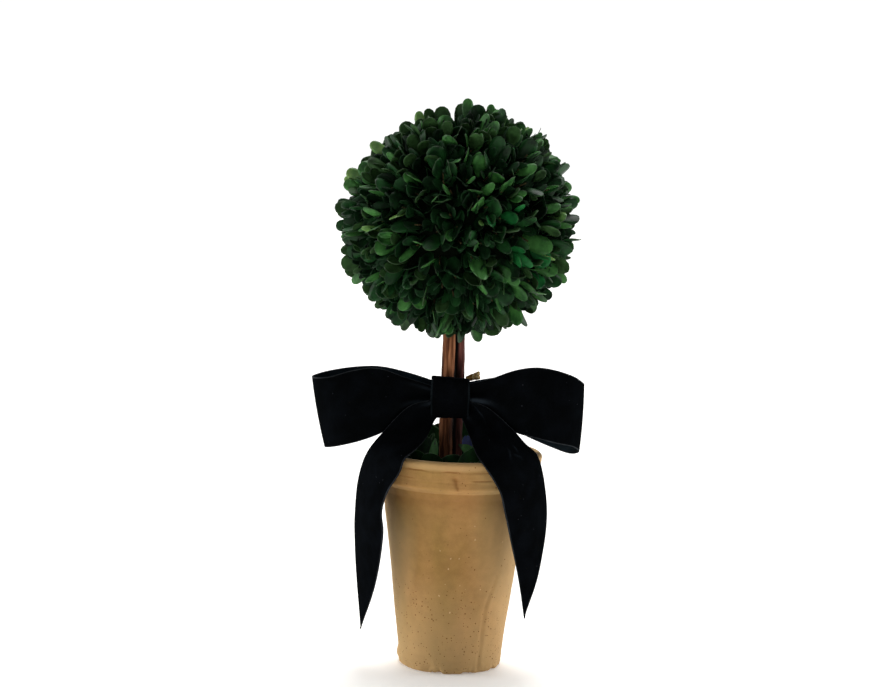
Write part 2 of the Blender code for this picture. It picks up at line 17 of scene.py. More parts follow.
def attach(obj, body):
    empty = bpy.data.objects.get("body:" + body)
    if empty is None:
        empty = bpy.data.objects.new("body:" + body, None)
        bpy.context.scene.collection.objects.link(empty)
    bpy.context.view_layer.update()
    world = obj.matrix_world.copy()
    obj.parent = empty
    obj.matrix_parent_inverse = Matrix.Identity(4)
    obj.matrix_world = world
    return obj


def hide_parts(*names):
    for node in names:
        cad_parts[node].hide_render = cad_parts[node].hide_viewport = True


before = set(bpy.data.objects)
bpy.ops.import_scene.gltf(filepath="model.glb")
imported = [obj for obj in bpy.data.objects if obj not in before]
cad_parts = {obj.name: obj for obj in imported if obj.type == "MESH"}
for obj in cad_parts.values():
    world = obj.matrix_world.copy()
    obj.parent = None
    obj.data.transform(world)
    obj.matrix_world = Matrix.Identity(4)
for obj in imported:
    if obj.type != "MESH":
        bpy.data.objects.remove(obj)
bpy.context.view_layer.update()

MILLIMETRE = 0.001

# %% [markdown]
# ## Camera, floor and light
# A long lens from 1.6 m, level with the ball's top and tipped down by six degrees, draws the
# pot nearly straight-sided. The camera also leans by two degrees, as a hand-held one does.
# The plant stands on a white floor under a white world. Lamps alone could light it, but black
# velvet would then show them as spots, so most light comes from the world: bright behind, dark
# on the camera's side.
# A sun with a wide angle is the sheet above. Edges and tops then catch light, while the ball's
# middle and the velvet stay dark.

# %% Camera
PICTURE_WIDTH = 881          # pixels
FOCAL_LENGTH = 2264          # in the same pixels
CAMERA_PLACE = (-0.01402, -1.60, 0.41)
CAMERA_DIP = math.radians(6.381)
CAMERA_LEAN = math.radians(1.89)

camera_data = bpy.data.cameras.new("camera")
camera_data.lens = FOCAL_LENGTH * camera_data.sensor_width / PICTURE_WIDTH
camera = bpy.data.objects.new("camera", camera_data)
aim = Matrix.Rotation(math.pi / 2 - CAMERA_DIP, 4, "X") @ Matrix.Rotation(CAMERA_LEAN, 4, "Z")
camera.matrix_world = Matrix.Translation(CAMERA_PLACE) @ aim
bpy.context.scene.collection.objects.link(camera)
bpy.context.scene.camera = camera
bpy.context.scene.view_settings.view_transform = "Standard"
print("lens", round(camera_data.lens, 1), "mm")


# %% Colours and shader nodes
def colour(code):
    """An sRGB colour such as "A07D4E" as the linear RGBA that a shader takes."""
    channels = [int(code[place:place + 2], 16) / 255 for place in (0, 2, 4)]
    linear = [c / 12.92 if c <= 0.04045 else ((c + 0.055) / 1.055) ** 2.4 for c in channels]
    return (*linear, 1.0)


def fill(tree, item, sockets):
    """Fill a node's sockets. Each takes a value, or (node, output) for a link."""
    for name, value in sockets.items():
        if isinstance(value, tuple) and isinstance(value[0], bpy.types.Node):
            tree.links.new(value[0].outputs[value[1]], item.inputs[name])
        else:
            item.inputs[name].default_value = value


def add(material, kind, sockets=None, stops=(), **settings):
    """Add a shader node with its sockets and settings, and a ramp's (place, colour) stops."""
    item = material.node_tree.nodes.new("ShaderNode" + kind)
    for name, value in settings.items():
        setattr(item, name, value)
    for place, code in stops[1:-1]:
        item.color_ramp.elements.new(place)
    for index, (place, code) in enumerate(stops):
        item.color_ramp.elements[index].position = place
        item.color_ramp.elements[index].color = colour(code)
    fill(material.node_tree, item, sockets or {})
    return item


def coat(material, sockets):
    """Fill sockets of a material's Principled shader."""
    fill(material.node_tree, material.node_tree.nodes["Principled BSDF"], sockets)


def finish(name, base, sockets):
    """A material with a base colour and other sockets of its Principled shader set."""
    material = bpy.data.materials.new(name)
    material.use_nodes = True
    coat(material, {"Base Color": colour(base), **sockets})
    return material


print("the sRGB grey 808080 is", round(colour("808080")[0], 3), "in linear light")


# %% Put a mesh in the scene
def show(name, shape, materials):
    """Turn a bmesh into a smooth object at the origin with its materials."""
    mesh = bpy.data.meshes.new(name)
    shape.to_mesh(mesh)
    shape.free()
    for material in materials:
        mesh.materials.append(material)
    mesh.shade_smooth()
    piece = bpy.data.objects.new(name, mesh)
    bpy.context.scene.collection.objects.link(piece)
    return piece


def dress(piece, slot, *nodes):
    """Let a piece ride on the plant and stand for CAD solids, which it hides. Its slot is not used.
    """
    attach(piece, "root")
    if nodes:
        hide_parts(*nodes)
    return piece


# %% Floor and world
FLOOR_HALF = 6.0
shape = bmesh.new()
bmesh.ops.create_grid(shape, x_segments=1, y_segments=1, size=FLOOR_HALF)
floor = show("floor", shape, [finish("matt white paper on a light table", "F4F3F0",
                                     {"Roughness": 0.9, "Emission Color": colour("FFFFFF"),
                                      "Emission Strength": 0.17})])

world = bpy.data.worlds.new("studio")
world.use_nodes = True
facing = add(world, "TexCoord")
depth = add(world, "SeparateXYZ", {"Vector": (facing, "Generated")})
white = add(world, "MapRange", {"Value": (depth, "Y"), "From Min": -0.40, "From Max": 0.35,
                                "To Min": 0.10, "To Max": 1.05})
fill(world.node_tree, world.node_tree.nodes["Background"],
     {"Strength": (white, "Result"), "Color": (1, 1, 1, 1)})
bpy.context.scene.world = world


# %% Soft boxes and the sheet above
def soft_box(name, place, target, width, height, power):
    """A rectangular lamp at a place that shines at a target, with its power in watts."""
    data = bpy.data.lights.new(name, "AREA")
    data.shape = "RECTANGLE"
    data.size = width
    data.size_y = height
    data.energy = power
    lamp = bpy.data.objects.new(name, data)
    turn = (Vector(target) - Vector(place)).to_track_quat("-Z", "Y").to_matrix().to_4x4()
    lamp.matrix_world = Matrix.Translation(place) @ turn
    bpy.context.scene.collection.objects.link(lamp)


MIDDLE = (0, 0, 0.22)
soft_box("left box", (-1.3, 0.1, 0.35), MIDDLE, 0.5, 1.0, 9)
soft_box("right box", (1.4, 0.2, 0.35), MIDDLE, 0.5, 1.0, 9)
soft_box("front box", (-0.3, -2.2, 0.9), MIDDLE, 0.8, 0.8, 5)
soft_box("low left box", (-0.9, -0.25, 0.10), (0, 0, 0.08), 0.3, 0.3, 1.3)

overhead = bpy.data.lights.new("overhead sheet", "SUN")
overhead.angle = math.radians(26)
overhead.energy = 2.8
sheet = bpy.data.objects.new("overhead sheet", overhead)
sheet.matrix_world = Matrix.Rotation(math.radians(-14), 4, "X")
bpy.context.scene.collection.objects.link(sheet)
print("floor, backdrop, sheet and four soft boxes are up")

# %% [markdown]
# ## Clay
# Unglazed buff clay is nearly even in colour: warm where the fire reached it and a little olive
# elsewhere, in broad upright clouds. Close to, it has sand grains, dirt in its grooves, and
# pinholes where air came out, most of them near the foot. Light is painted in as well: the clay
# is paler low on the left, on the right and towards the foot, where side light falls, and paler
# on the lip. It is darker in the grooves, in the nick and under the collar, where shade falls.
# A painted image could hold all this, but patterns on Object coordinates need no unwrapping and
# stay sharp at any distance. The pits are bumps as well. The grooves' dirt and painted shade
# follow their shape, through an attribute of the mesh.

# %% Terracotta finish
def terracotta(name):
    """Unglazed, hand-pressed buff clay: dry, sandy, and pitted towards its foot."""
    clay = finish(name, "9C7748", {"Roughness": 0.88, "Specular IOR Level": 0.2,
                                   "Sheen Weight": 0.15, "Sheen Roughness": 0.5,
                                   "Sheen Tint": colour("E6CFA4")})
    place = add(clay, "TexCoord")
    # Clouds of colour are about 30 mm across and three times as tall; smears are 6 mm across.
    upright = add(clay, "Mapping", {"Vector": (place, "Object"), "Scale": (1.0, 1.0, 0.35)})
    clouds = add(clay, "TexNoise", {"Vector": (upright, "Vector"), "Scale": 34.0, "Detail": 2.0})
    earths = add(clay, "ValToRGB", {"Fac": (clouds, "Fac")}, [(0.32, "896C38"), (0.68, "A47B49")])
    smears = add(clay, "TexNoise", {"Vector": (place, "Object"), "Scale": 170.0, "Detail": 4.0})
    smeared = add(clay, "MapRange", {"Value": (smears, "Fac"), "From Min": 0.3, "From Max": 0.7,
                                     "To Min": 0.87, "To Max": 1.08})
    # Sand grains are about half a millimetre across.
    sand = add(clay, "TexNoise", {"Vector": (place, "Object"), "Scale": 1800.0, "Detail": 2.0})
    grains = add(clay, "MapRange", {"Value": (sand, "Fac"), "From Min": 0.3, "From Max": 0.7,
                                    "To Min": 0.93, "To Max": 1.06})
    shade = add(clay, "Math", {0: (smeared, 0), 1: (grains, 0)}, operation="MULTIPLY")
    sandy = add(clay, "VectorMath", {0: (earths, "Color"), "Scale": (shade, 0)}, operation="SCALE")
    # Painted light: the clay is paler low on the left side, on the right side and towards the
    # foot, where side light falls. It is also paler on the lip.
    hollow = add(clay, "Attribute", attribute_name="hollow")
    proud = add(clay, "Attribute", attribute_name="proud")
    height = add(clay, "SeparateXYZ", {"Vector": (place, "Object")})
    left, below, *others = [
        add(clay, "MapRange", {"Value": (height, axis), "From Min": none, "From Max": full,
                               "To Max": most})
        for axis, none, full, most in (
            ("X", -0.024, -0.042, 0.60), ("Z", 0.122, 0.098, 1.0), ("X", 0.008, 0.036, 0.44),
            ("Z", 0.075, 0.0, 0.55), ("Z", 0.1485, 0.1505, 0.35))]
    pale = add(clay, "Math", {0: (left, 0), 1: (below, 0)}, operation="MULTIPLY")
    for band in others:
        pale = add(clay, "Math", {0: (pale, 0), 1: (band, 0)}, operation="MAXIMUM")
    crumbs_and_painted_light = add(clay, "Math", {0: (proud, "Fac"), 1: 0.7, 2: (pale, 0)}, operation="MULTIPLY_ADD")
    # Pits lie in cells of about 2 mm. A share of the cells has one, at most a millimetre wide.
    share = add(clay, "MapRange", {"Value": (height, "Z"), "From Min": 0.030, "From Max": 0.090,
                                   "To Min": 0.72, "To Max": 0.05})
    cells = add(clay, "TexVoronoi", {"Vector": (place, "Object"), "Scale": 470.0})
    lot = add(clay, "SeparateXYZ", {"Vector": (cells, "Color")})
    chosen = add(clay, "Math", {0: (lot, "X"), 1: (share, 0)}, operation="LESS_THAN")
    bore = add(clay, "MapRange", {"Value": (lot, "Y"), "To Min": 0.05, "To Max": 0.26})
    inside = add(clay, "Math", {0: (cells, "Distance"), 1: (bore, 0)}, operation="LESS_THAN")
    pit = add(clay, "Math", {0: (inside, 0), 1: (chosen, 0)}, operation="MULTIPLY")
    # Painted light and pale crumbs, then dirt with painted shade, then the pits' painted shade lie
    # over the sandy clay.
    hue = (sandy, "Vector")
    for mask, code in (((crumbs_and_painted_light, 0), "CBAA7A"), ((hollow, "Fac"), "744820"), ((pit, 0), "704C29")):
        hue = (add(clay, "MixRGB", {"Fac": mask, "Color1": hue, "Color2": colour(code)}), "Color")
    rough = add(clay, "Bump", {"Height": (sand, "Fac"), "Strength": 0.3, "Distance": 0.0003})
    holed = add(clay, "Bump", {"Height": (pit, 0), "Normal": (rough, "Normal"), "Strength": 0.5,
                               "Distance": 0.0005}, invert=True)
    coat(clay, {"Base Color": hue, "Normal": (holed, "Normal")})
    return clay


clay = terracotta("unglazed buff terracotta, pressed and fired")
print("clay has", len(clay.node_tree.nodes), "nodes")

# %% [markdown]
# ## The pot
# A profile is spun round the axis with many steps. Clay leaves the mould slightly out of true
# and gets knocked, so the vertices are then pushed about by noise: slow waves over the whole
# wall, broken grooves and a nick on the collar, one seam, and a chipped lower edge. Crumbs are
# small lumps set in the wall. A displacement texture could do the same, but moving vertices in
# code keeps each mark at its own place and gives a mesh that is ready to export.

# %% Pot profile, from the same sizes as the solid
POT_HEIGHT = 0.1552
RIM_RADIUS = 0.0613
RIM_ROUNDING = 0.0026
COLLAR_RADIUS = 0.0600
COLLAR_FOOT = 0.1350
COLLAR_ROUNDING = 0.0024
UNDERCUT_HEIGHT = 0.1318    # where the collar's underside meets the body
BODY_TOP = 0.1265
BODY_TOP_RADIUS = 0.0514
FOOT_SWELL = (0.0367, 0.0058)
FOOT_RADIUS = 0.0342
FOOT_ROUNDING = 0.0022
GROOVE_HEIGHTS = (0.1487, 0.1428)
WALL = 0.0064
FLOOR = 0.0090


def body_radius(height):
    """The straight taper between the swell at the foot and the top of the body."""
    climb = (height - FOOT_SWELL[1]) / (BODY_TOP - FOOT_SWELL[1])
    return FOOT_SWELL[0] + (BODY_TOP_RADIUS - FOOT_SWELL[0]) * climb


def inner_radius(height):
    """The hollow follows the body, then flares inside the collar."""
    flare = max(0, height - BODY_TOP) / (POT_HEIGHT - BODY_TOP)
    return body_radius(min(height, BODY_TOP)) - WALL + flare * (RIM_RADIUS - BODY_TOP_RADIUS)


def arc(centre, radius, start, end, count):
    """Points of a profile's arc, between two angles in degrees."""
    turns = [math.radians(start + (end - start) * step / count) for step in range(count + 1)]
    return [(centre[0] + radius * math.cos(a), centre[1] + radius * math.sin(a)) for a in turns]


def pot_profile():
    """Half a section of the pot, as (radius, height), from its inner floor round to its base."""
    lip = POT_HEIGHT - RIM_ROUNDING
    inside = inner_radius(lip)
    profile = [(0, FLOOR), (inner_radius(FLOOR), FLOOR), (inner_radius(BODY_TOP), BODY_TOP)]
    profile += arc((inside + RIM_ROUNDING, lip), RIM_ROUNDING, 180, 90, 6)
    profile += arc((RIM_RADIUS - RIM_ROUNDING, lip), RIM_ROUNDING, 90, 0, 8)
    profile += [(COLLAR_RADIUS, GROOVE_HEIGHTS[1] - 0.0020)]
    profile += arc((COLLAR_RADIUS - COLLAR_ROUNDING, COLLAR_FOOT + COLLAR_ROUNDING),
                   COLLAR_ROUNDING, 0, -75, 8)
    profile += [(body_radius(UNDERCUT_HEIGHT - 0.0003) + 0.0012, UNDERCUT_HEIGHT)]
    profile += [(BODY_TOP_RADIUS, BODY_TOP), FOOT_SWELL, (FOOT_SWELL[0] - 0.0003, 0.0040)]
    return profile + arc((FOOT_RADIUS, FOOT_ROUNDING), FOOT_ROUNDING, 0, -90, 5) + [(0, 0)]


def refined(profile, fine, coarse):
    """The same line in short runs: fine on the collar and the foot, coarse inside the pot."""
    line = [profile[0]]
    for start, end in zip(profile, profile[1:]):
        outside = min(start[0], end[0]) > inner_radius(end[1]) + WALL / 2
        worked = end[1] > COLLAR_FOOT - 0.004 or end[1] < FOOT_SWELL[1]
        longest = coarse if not outside else fine if worked else 2 * fine
        pieces = max(1, math.ceil(math.dist(start, end) / longest))
        line += [tuple(a + (b - a) * step / pieces for a, b in zip(start, end))
                 for step in range(1, pieces + 1)]
    return line


print("the profile has", len(pot_profile()), "corners")


# %% Marks that have a place
def ripple(point, size, seed=0.0):
    """Smooth noise from -1 to 1 whose lumps are about a size across."""
    return noise.noise(Vector(point) / size + Vector((seed, seed * 0.37, seed * 0.71)))


def bell(distance, width):
    """A smooth bump: 1 at no distance, a third of it at a width away."""
    return math.exp(-(distance / width) ** 2)


# Crumbs stuck to the front, as (across, height), in millimetres.
CRUMBS = ((-2.0, 85.4), (-3.5, 77.8), (-10.3, 58.0), (-5.7, 66.5), (5.6, 66.0), (10.2, 63.1),
          (10.3, 59.0), (21.5, 62.5), (-1.5, 46.0), (-9.7, 90.9), (4.1, 85.5), (7.7, 113.7),
          (13.8, 109.1), (14.6, 99.2), (34.5, 95.9))
# The seam runs down the front, as (across, height), in millimetres.
SEAM = ((31.0, 72.0), (29.1, 65.7), (23.5, 48.9), (21.9, 32.3), (20.7, 15.6), (19.3, 2.0))
# An old knock in the collar, from its upper to its lower end.
NICK = ((-0.9, 143.5), (1.4, 135.9))
GROOVE_WIDTH = 0.0005
GROOVE_DEPTH = 0.0005
NICK_DEPTH = 0.0008
SEAM_DEPTH = 0.00036
SEAM_BULGE = 0.00026        # clay pushed up beside the seam
CHIPPED_HEIGHT = 0.012      # the lower edge is uneven up to here


def seam_across(height):
    """How far to the right the seam is at a height, both in millimetres."""
    for (x1, z1), (x2, z2) in zip(SEAM, SEAM[1:]):
        if z2 <= height <= z1:
            return x2 + (x1 - x2) * (height - z2) / (z1 - z2)
    return None


def grooved(point):
    """How deep the collar's broken grooves are at a point, from 0 to 1."""
    depth = 0.0
    for height, seed, most in zip(GROOVE_HEIGHTS, (11, 17), (0.9, 0.7)):
        line = height + 0.0006 * ripple(point, 0.022, seed) + 0.0003 * ripple(point, 0.005, seed)
        broken = min(1.0, max(0.0, 0.42 + 2.0 * ripple(point, 0.010, seed + 2)))
        depth = max(depth, most * broken * bell(point.z - line, GROOVE_WIDTH))
    return depth


def nicked(point):
    """How deep the old knock in the collar is at a point, from 0 to 1."""
    (x1, z1), (x2, z2) = NICK
    x, z = point.x / MILLIMETRE, point.z / MILLIMETRE
    run = min(1.0, max(0.0, (z1 - z) / (z1 - z2)))
    ragged = 0.9 * ripple(point, 0.0022, 31)
    off = math.hypot(x - x1 - (x2 - x1) * run - ragged, max(0.0, z - z1, z2 - z))
    return bell(off, 1.7 - 1.1 * run) if point.y < 0 else 0.0


print(len(CRUMBS), "crumbs, a seam, a nick and", len(GROOVE_HEIGHTS), "grooves have a place")


# %% Wear and unevenness of the wall
def worn(point):
    """How far the clay stands out at a point of the pot's outer wall."""
    out = 0.0006 * ripple(point, 0.045) + 0.00020 * ripple(point, 0.012, 3)
    out += 0.00005 * ripple(point, 0.0030, 5)
    out -= GROOVE_DEPTH * grooved(point) + NICK_DEPTH * nicked(point)
    for height in GROOVE_HEIGHTS:
        out += 0.0004 * ripple(point, 0.014, height * 900) * bell(point.z - height + 0.0016, 0.0010)
    out += 0.0005 * ripple(point, 0.008, 23) * bell(point.z - COLLAR_FOOT, 0.0022)
    if point.y < 0 and point.z < COLLAR_FOOT:
        x, z = point.x / MILLIMETRE, point.z / MILLIMETRE
        seam = seam_across(z)
        if seam is not None:
            out -= SEAM_DEPTH * bell(x - seam, 1.2) * (1 + 1.6 * ripple(point, 0.009, 37))
            out += SEAM_BULGE * bell(x - seam - 2.4, 1.8)
    if point.z < CHIPPED_HEIGHT:
        near = 1 - point.z / CHIPPED_HEIGHT
        out += 0.0013 * bell(point.z - 0.007, 0.004) * max(0.0, -point.x / FOOT_RADIUS)
        out += near * (0.0014 * ripple(point, 0.009, 41) + 0.0005 * ripple(point, 0.0030, 43))
        out -= near * 0.0016 * max(0.0, ripple(point, 0.011, 47) - 0.15) / 0.5
    return out


front = Vector((0, -body_radius(0.080), 0.080))
print("80 mm up its front, wear moves the wall by", round(worn(front) / MILLIMETRE, 3), "mm")

# %% Spin the pot and wear it
POT_STEPS = 320
FINE = 0.00045              # longest run of the profile where it is worked
COARSE = 0.0040
# Grooves and the nick are darkened by dirt and painted shade, and a band under the collar by a
# painted shadow.
GROOVE_DIRT_AND_SHADE, NICK_DIRT_AND_SHADE, COLLAR_SHADOW, MOST_DARKENING = 0.8, 0.7, 0.30, 0.9
CHIP_TOP = 0.004
CHIP_DEPTH = 0.0030
LIP_WEAR = 0.0005

shape = bmesh.new()
profile = refined(pot_profile(), FINE, COARSE)
line = [shape.verts.new((radius, 0, height)) for radius, height in profile]
edges = [shape.edges.new(pair) for pair in zip(line, line[1:])]
bmesh.ops.spin(shape, geom=line + edges, axis=(0, 0, 1), angle=math.tau, steps=POT_STEPS,
               use_merge=True)
bmesh.ops.remove_doubles(shape, verts=shape.verts, dist=0.00001)
bmesh.ops.recalc_face_normals(shape, faces=shape.faces)
hollow = shape.verts.layers.float.new("hollow")
proud = shape.verts.layers.float.new("proud")
for corner in shape.verts:
    around = math.hypot(corner.co.x, corner.co.y)
    if around > inner_radius(corner.co.z) + WALL / 2:
        dirt_and_shade = GROOVE_DIRT_AND_SHADE * grooved(corner.co) + NICK_DIRT_AND_SHADE * nicked(corner.co)
        # A painted shadow under the collar.
        if corner.co.z < COLLAR_FOOT - 0.003:
            dirt_and_shade += COLLAR_SHADOW * bell(corner.co.z - BODY_TOP - 0.002, 0.009)
        corner[hollow] = min(MOST_DARKENING, dirt_and_shade)
        corner.co.xy *= 1 + worn(corner.co) / around
        if corner.co.z < CHIP_TOP:
            chip = max(0.0, ripple(corner.co, 0.010, 71) + 0.4 * ripple(corner.co, 0.003, 73) - 0.1)
            corner.co.z += CHIP_DEPTH * chip * (around / FOOT_RADIUS) ** 8
    if corner.co.z > POT_HEIGHT - RIM_ROUNDING:
        rise = (corner.co.z - POT_HEIGHT + RIM_ROUNDING) / RIM_ROUNDING
        corner.co.z -= LIP_WEAR * rise * (1 + ripple(corner.co, 0.016, 53)) / 2
print("wall", len(shape.verts), "vertices")

# %% Crumbs stuck to the wall
CRUMB_RING = 48             # how far from the axis the placed crumbs are, in millimetres
MORE_CRUMBS = 22

chance = random.Random(19)
crumbs = [(math.asin(across / CRUMB_RING) - math.pi / 2, height) for across, height in CRUMBS]
crumbs += [(chance.uniform(0, math.pi), chance.uniform(20, 115)) for _ in range(MORE_CRUMBS)]
for turn, height in crumbs:
    out = Vector((math.cos(turn), math.sin(turn), 0))
    foot = out * (body_radius(height * MILLIMETRE) - 0.0001) + Vector((0, 0, height * MILLIMETRE))
    size = MILLIMETRE * Vector((0.30, chance.uniform(0.3, 0.65), chance.uniform(0.4, 1.0)))
    lean = Matrix.Rotation(turn, 4, "Z") @ Matrix.Rotation(chance.uniform(-0.7, 0.7), 4, "X")
    lump = bmesh.ops.create_icosphere(shape, subdivisions=2, radius=1.0)["verts"]
    for corner in lump:
        corner.co *= 1 + 0.3 * ripple(corner.co, 0.7, height)
        corner[proud] = 1.0
    bmesh.ops.scale(shape, verts=lump, vec=size)
    bmesh.ops.transform(shape, verts=lump, matrix=Matrix.Translation(foot) @ lean)
pot = dress(show("clay_pot", shape, [clay]), "clay", "pot")
print("pot", len(pot.data.polygons), "faces,", len(crumbs), "crumbs")

# %% [markdown]
# ## What fills the pot
# The sticks stand in dry floral foam. Its solid is right as it is, so it only gets a finish.
# Leaves hide it, and leaves make the ball. A leaf could be a flat card with a cut-out picture,
# but a few dozen faces give it real edges: a grid is narrowed to a leaf's outline, folded along
# its midrib, arched, twisted, and given a thickness. Copies of a few such patterns are then
# joined, each kind apart, because thousands of objects would be slow.

# %% Dry foam
foam = finish("dry floral foam, sliced and crumbling", "2C2A1C", {"Roughness": 0.97})
# Its cells are drawn a millimetre across, coarser than real ones, so that they show.
cells = add(foam, "TexNoise", {"Vector": (add(foam, "TexCoord"), "Object"), "Scale": 900.0,
                               "Detail": 4.0})
tint = add(foam, "ValToRGB", {"Fac": (cells, "Fac")}, [(0.0, "15140D"), (1.0, "4A4630")])
crumble = add(foam, "Bump", {"Height": (cells, "Fac"), "Strength": 0.8, "Distance": 0.0008})
coat(foam, {"Base Color": (tint, "Color"), "Normal": (crumble, "Normal")})
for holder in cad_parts["pot_fill"].material_slots:
    holder.material = foam


# %% Leaf finishes
def leaf_finish(name, dark, light, gloss, grain=700.0, shine=0.22):
    """A preserved leaf: softened with glycerine, so satin, with a faint drift of colour."""
    skin = finish(name, dark, {"Roughness": gloss, "Specular IOR Level": shine})
    place = add(skin, "TexCoord")
    # The colour drifts over about 8 mm, and the net of veins is about 1.4 mm wide.
    drift = add(skin, "TexNoise", {"Vector": (place, "Object"), "Scale": 130.0, "Detail": 3.0})
    tint = add(skin, "ValToRGB", {"Fac": (drift, "Fac")}, [(0.35, dark), (0.70, light)])
    veins = add(skin, "TexNoise", {"Vector": (place, "Object"), "Scale": grain, "Detail": 2.0})
    bumps = add(skin, "Bump", {"Height": (veins, "Fac"), "Strength": 0.25, "Distance": 0.0003})
    coat(skin, {"Base Color": (tint, "Color"), "Normal": (bumps, "Normal")})
    return skin


# %% One leaf blade as a pattern
FACES_UP = 0.3              # a face whose normal rises less than this is part of the rim


def blade(name, half, broadest, fold, arch, thickness, steps=(6, 4), margin=None, twist=0.0,
          blunt=0.5):
    """A leaf of length 1 along +X, upper face up, with the slots upper, rim and under.

    half is its half width and broadest the share of its length where that is, fold lifts its
    sides, arch bends its tip down, margin is the width of a pale strip inside its rim, twist
    turns its tip, in radians, and blunt runs from 0.5 for a round tip to 1 for a pointed one.
    """
    shape = bmesh.new()
    bmesh.ops.create_grid(shape, x_segments=steps[0], y_segments=steps[1], size=0.5)
    for corner in shape.verts:
        along = math.sin((corner.co.x + 0.5) * math.pi / 2) ** 0.85
        across = corner.co.y * 2
        if margin and 2 / steps[1] < 1 - abs(across) + 0.01 < 4 / steps[1]:
            across = math.copysign(1 - margin, across)
        rise = min(1.0, along / broadest)
        fall = max(0.0, (along - broadest) / (1 - broadest))
        wide = half * (0.07 + 0.93 * math.sin(rise * math.pi / 2) ** 1.3)
        wide *= 0.10 + 0.90 * max(0.0, 1 - fall ** 2.2) ** blunt
        turn = twist * along
        side = wide * across
        lift = fold * abs(side) - 1.5 * fold * side * side / half - arch * along * along
        corner.co = Vector((along, side * math.cos(turn) - lift * math.sin(turn),
                            lift * math.cos(turn) + side * math.sin(turn)))
    upper = list(shape.faces)
    bmesh.ops.recalc_face_normals(shape, faces=upper)
    if upper[0].normal.z < 0:
        bmesh.ops.reverse_faces(shape, faces=upper)
    bmesh.ops.solidify(shape, geom=upper, thickness=thickness)
    for face in shape.faces:
        face.normal_update()
        rise = face.normal.z
        face.material_index = 0 if rise > FACES_UP else 2 if rise < -FACES_UP else 1
        if margin and face.material_index == 0:
            narrow = min(edge.calc_length() for edge in face.edges) < 1.5 * margin * half
            face.material_index = 1 if narrow else 0
    mesh = bpy.data.meshes.new(name)
    shape.to_mesh(mesh)
    shape.free()
    return mesh


def frame_along(axis, side, origin, length):
    """A placing whose X runs along axis and whose Y is near side, scaled by a length."""
    x_axis = axis.normalized()
    z_axis = x_axis.cross(side).normalized()
    turn = Matrix((x_axis, z_axis.cross(x_axis), z_axis)).transposed().to_4x4()
    return Matrix.Translation(origin) @ turn @ Matrix.Scale(length, 4)


def scatter(pairs):
    """One bmesh of many small patterns, from (pattern mesh, placing) pairs."""
    shape = bmesh.new()
    for pattern, placing in pairs:
        copy = pattern.copy()
        copy.transform(placing)
        shape.from_mesh(copy)
        bpy.data.meshes.remove(copy)
    return shape


print("a leaf has the slots upper, rim and under")

# %% [markdown]
# ## Sticks
# Two thin trunks carry the ball, the left one in front. A bevelled curve would give each in one
# step, but smooth all round. Instead each is a sheet of faces rolled round a line that leans and
# wavers, so that every vertex can stand out or in. Bark runs lengthwise, so its ridges and its
# streaks of colour come from noise that is stretched along the stick.

# %% Bark finish
def bark_finish(name, tones, ridge=0.5, shadow_strip=None):
    """Thin smooth bark: lengthwise streaks of three tones, painted shade low down, and a black
    painted shadow on a strip.
    """
    bark = finish(name, tones[1], {"Roughness": 0.75, "Specular IOR Level": 0.08})
    place = add(bark, "TexCoord")
    # Streaks are about 2.4 mm wide, fibres half a millimetre, and both 17 times as long.
    long = add(bark, "Mapping", {"Vector": (place, "Object"), "Scale": (1.0, 1.0, 0.06)})
    streaks = add(bark, "TexNoise", {"Vector": (long, "Vector"), "Scale": 420.0, "Detail": 4.0,
                                     "Roughness": 0.6})
    hues = add(bark, "ValToRGB", {"Fac": (streaks, "Fac")}, list(zip((0.36, 0.5, 0.66), tones)))
    # Painted shade: the bark is darker below the bow, towards the filling. A strip along X holds
    # a black painted shadow, cast by the front stick.
    painted_shades = [("Z", 0.190, 0.165, 0.5, "1A0E08")]
    if shadow_strip:
        painted_shades.append(("X", *shadow_strip, 1.0, "060303"))
    side = add(bark, "SeparateXYZ", {"Vector": (place, "Object")})
    hue = (hues, "Color")
    for axis, unshaded, full, most, code in painted_shades:
        mask = add(bark, "MapRange", {"Value": (side, axis), "From Min": unshaded, "From Max": full,
                                      "To Max": most})
        shaded = add(bark, "MixRGB", {"Fac": (mask, 0), "Color1": hue, "Color2": colour(code)})
        hue = (shaded, "Color")
    fibres = add(bark, "TexNoise", {"Vector": (long, "Vector"), "Scale": 2200.0, "Detail": 2.0})
    bumps = add(bark, "Bump", {"Height": (fibres, "Fac"), "Strength": ridge, "Distance": 0.0004})
    coat(bark, {"Base Color": hue, "Normal": (bumps, "Normal")})
    return bark


front_bark = bark_finish("dry red-brown bark, peeled in strips", ("3C1E12", "6C4228", "A8704E"))
back_bark = bark_finish("dark mauve-brown bark, left on", ("22110F", "552D28", "8A564C"),
                        shadow_strip=(0.0002, -0.0016))
cut_wood = bark_finish("pale torn wood of a cut shoot", ("8E6A3C", "BF9A62", "E2CFA0"), 0.8)

# %% Stick shapes, from the same rule as the solids
STICK_FOOT = 0.092
STICK_TOP = 0.296
LEFT_STICK = (-0.0079, -0.0020)
RIGHT_STICK = (-0.0003, 0.0050)
LEFT_STICK_RADII = (0.00475, 0.00455)
RIGHT_STICK_RADII = (0.00440, 0.00420)
STICK_LEAN = -0.0062
STICK_WAVER = 0.0004
STICK_WAVES = 60
STICK_AROUND, STICK_ALONG = 56, 230


def rolled(around, along, surface):
    """A closed tube: a grid whose first side is rolled up by surface(turn, share)."""
    shape = bmesh.new()
    bmesh.ops.create_grid(shape, x_segments=around, y_segments=along, size=0.5)
    for corner in shape.verts:
        turn, share = (corner.co.x + 0.5) * math.tau, corner.co.y + 0.5
        corner.co = surface(turn, share)
    bmesh.ops.remove_doubles(shape, verts=shape.verts, dist=0.000002)
    rims = [edge for edge in shape.edges if edge.is_boundary]
    bmesh.ops.holes_fill(shape, edges=rims)
    bmesh.ops.recalc_face_normals(shape, faces=shape.faces)
    return shape


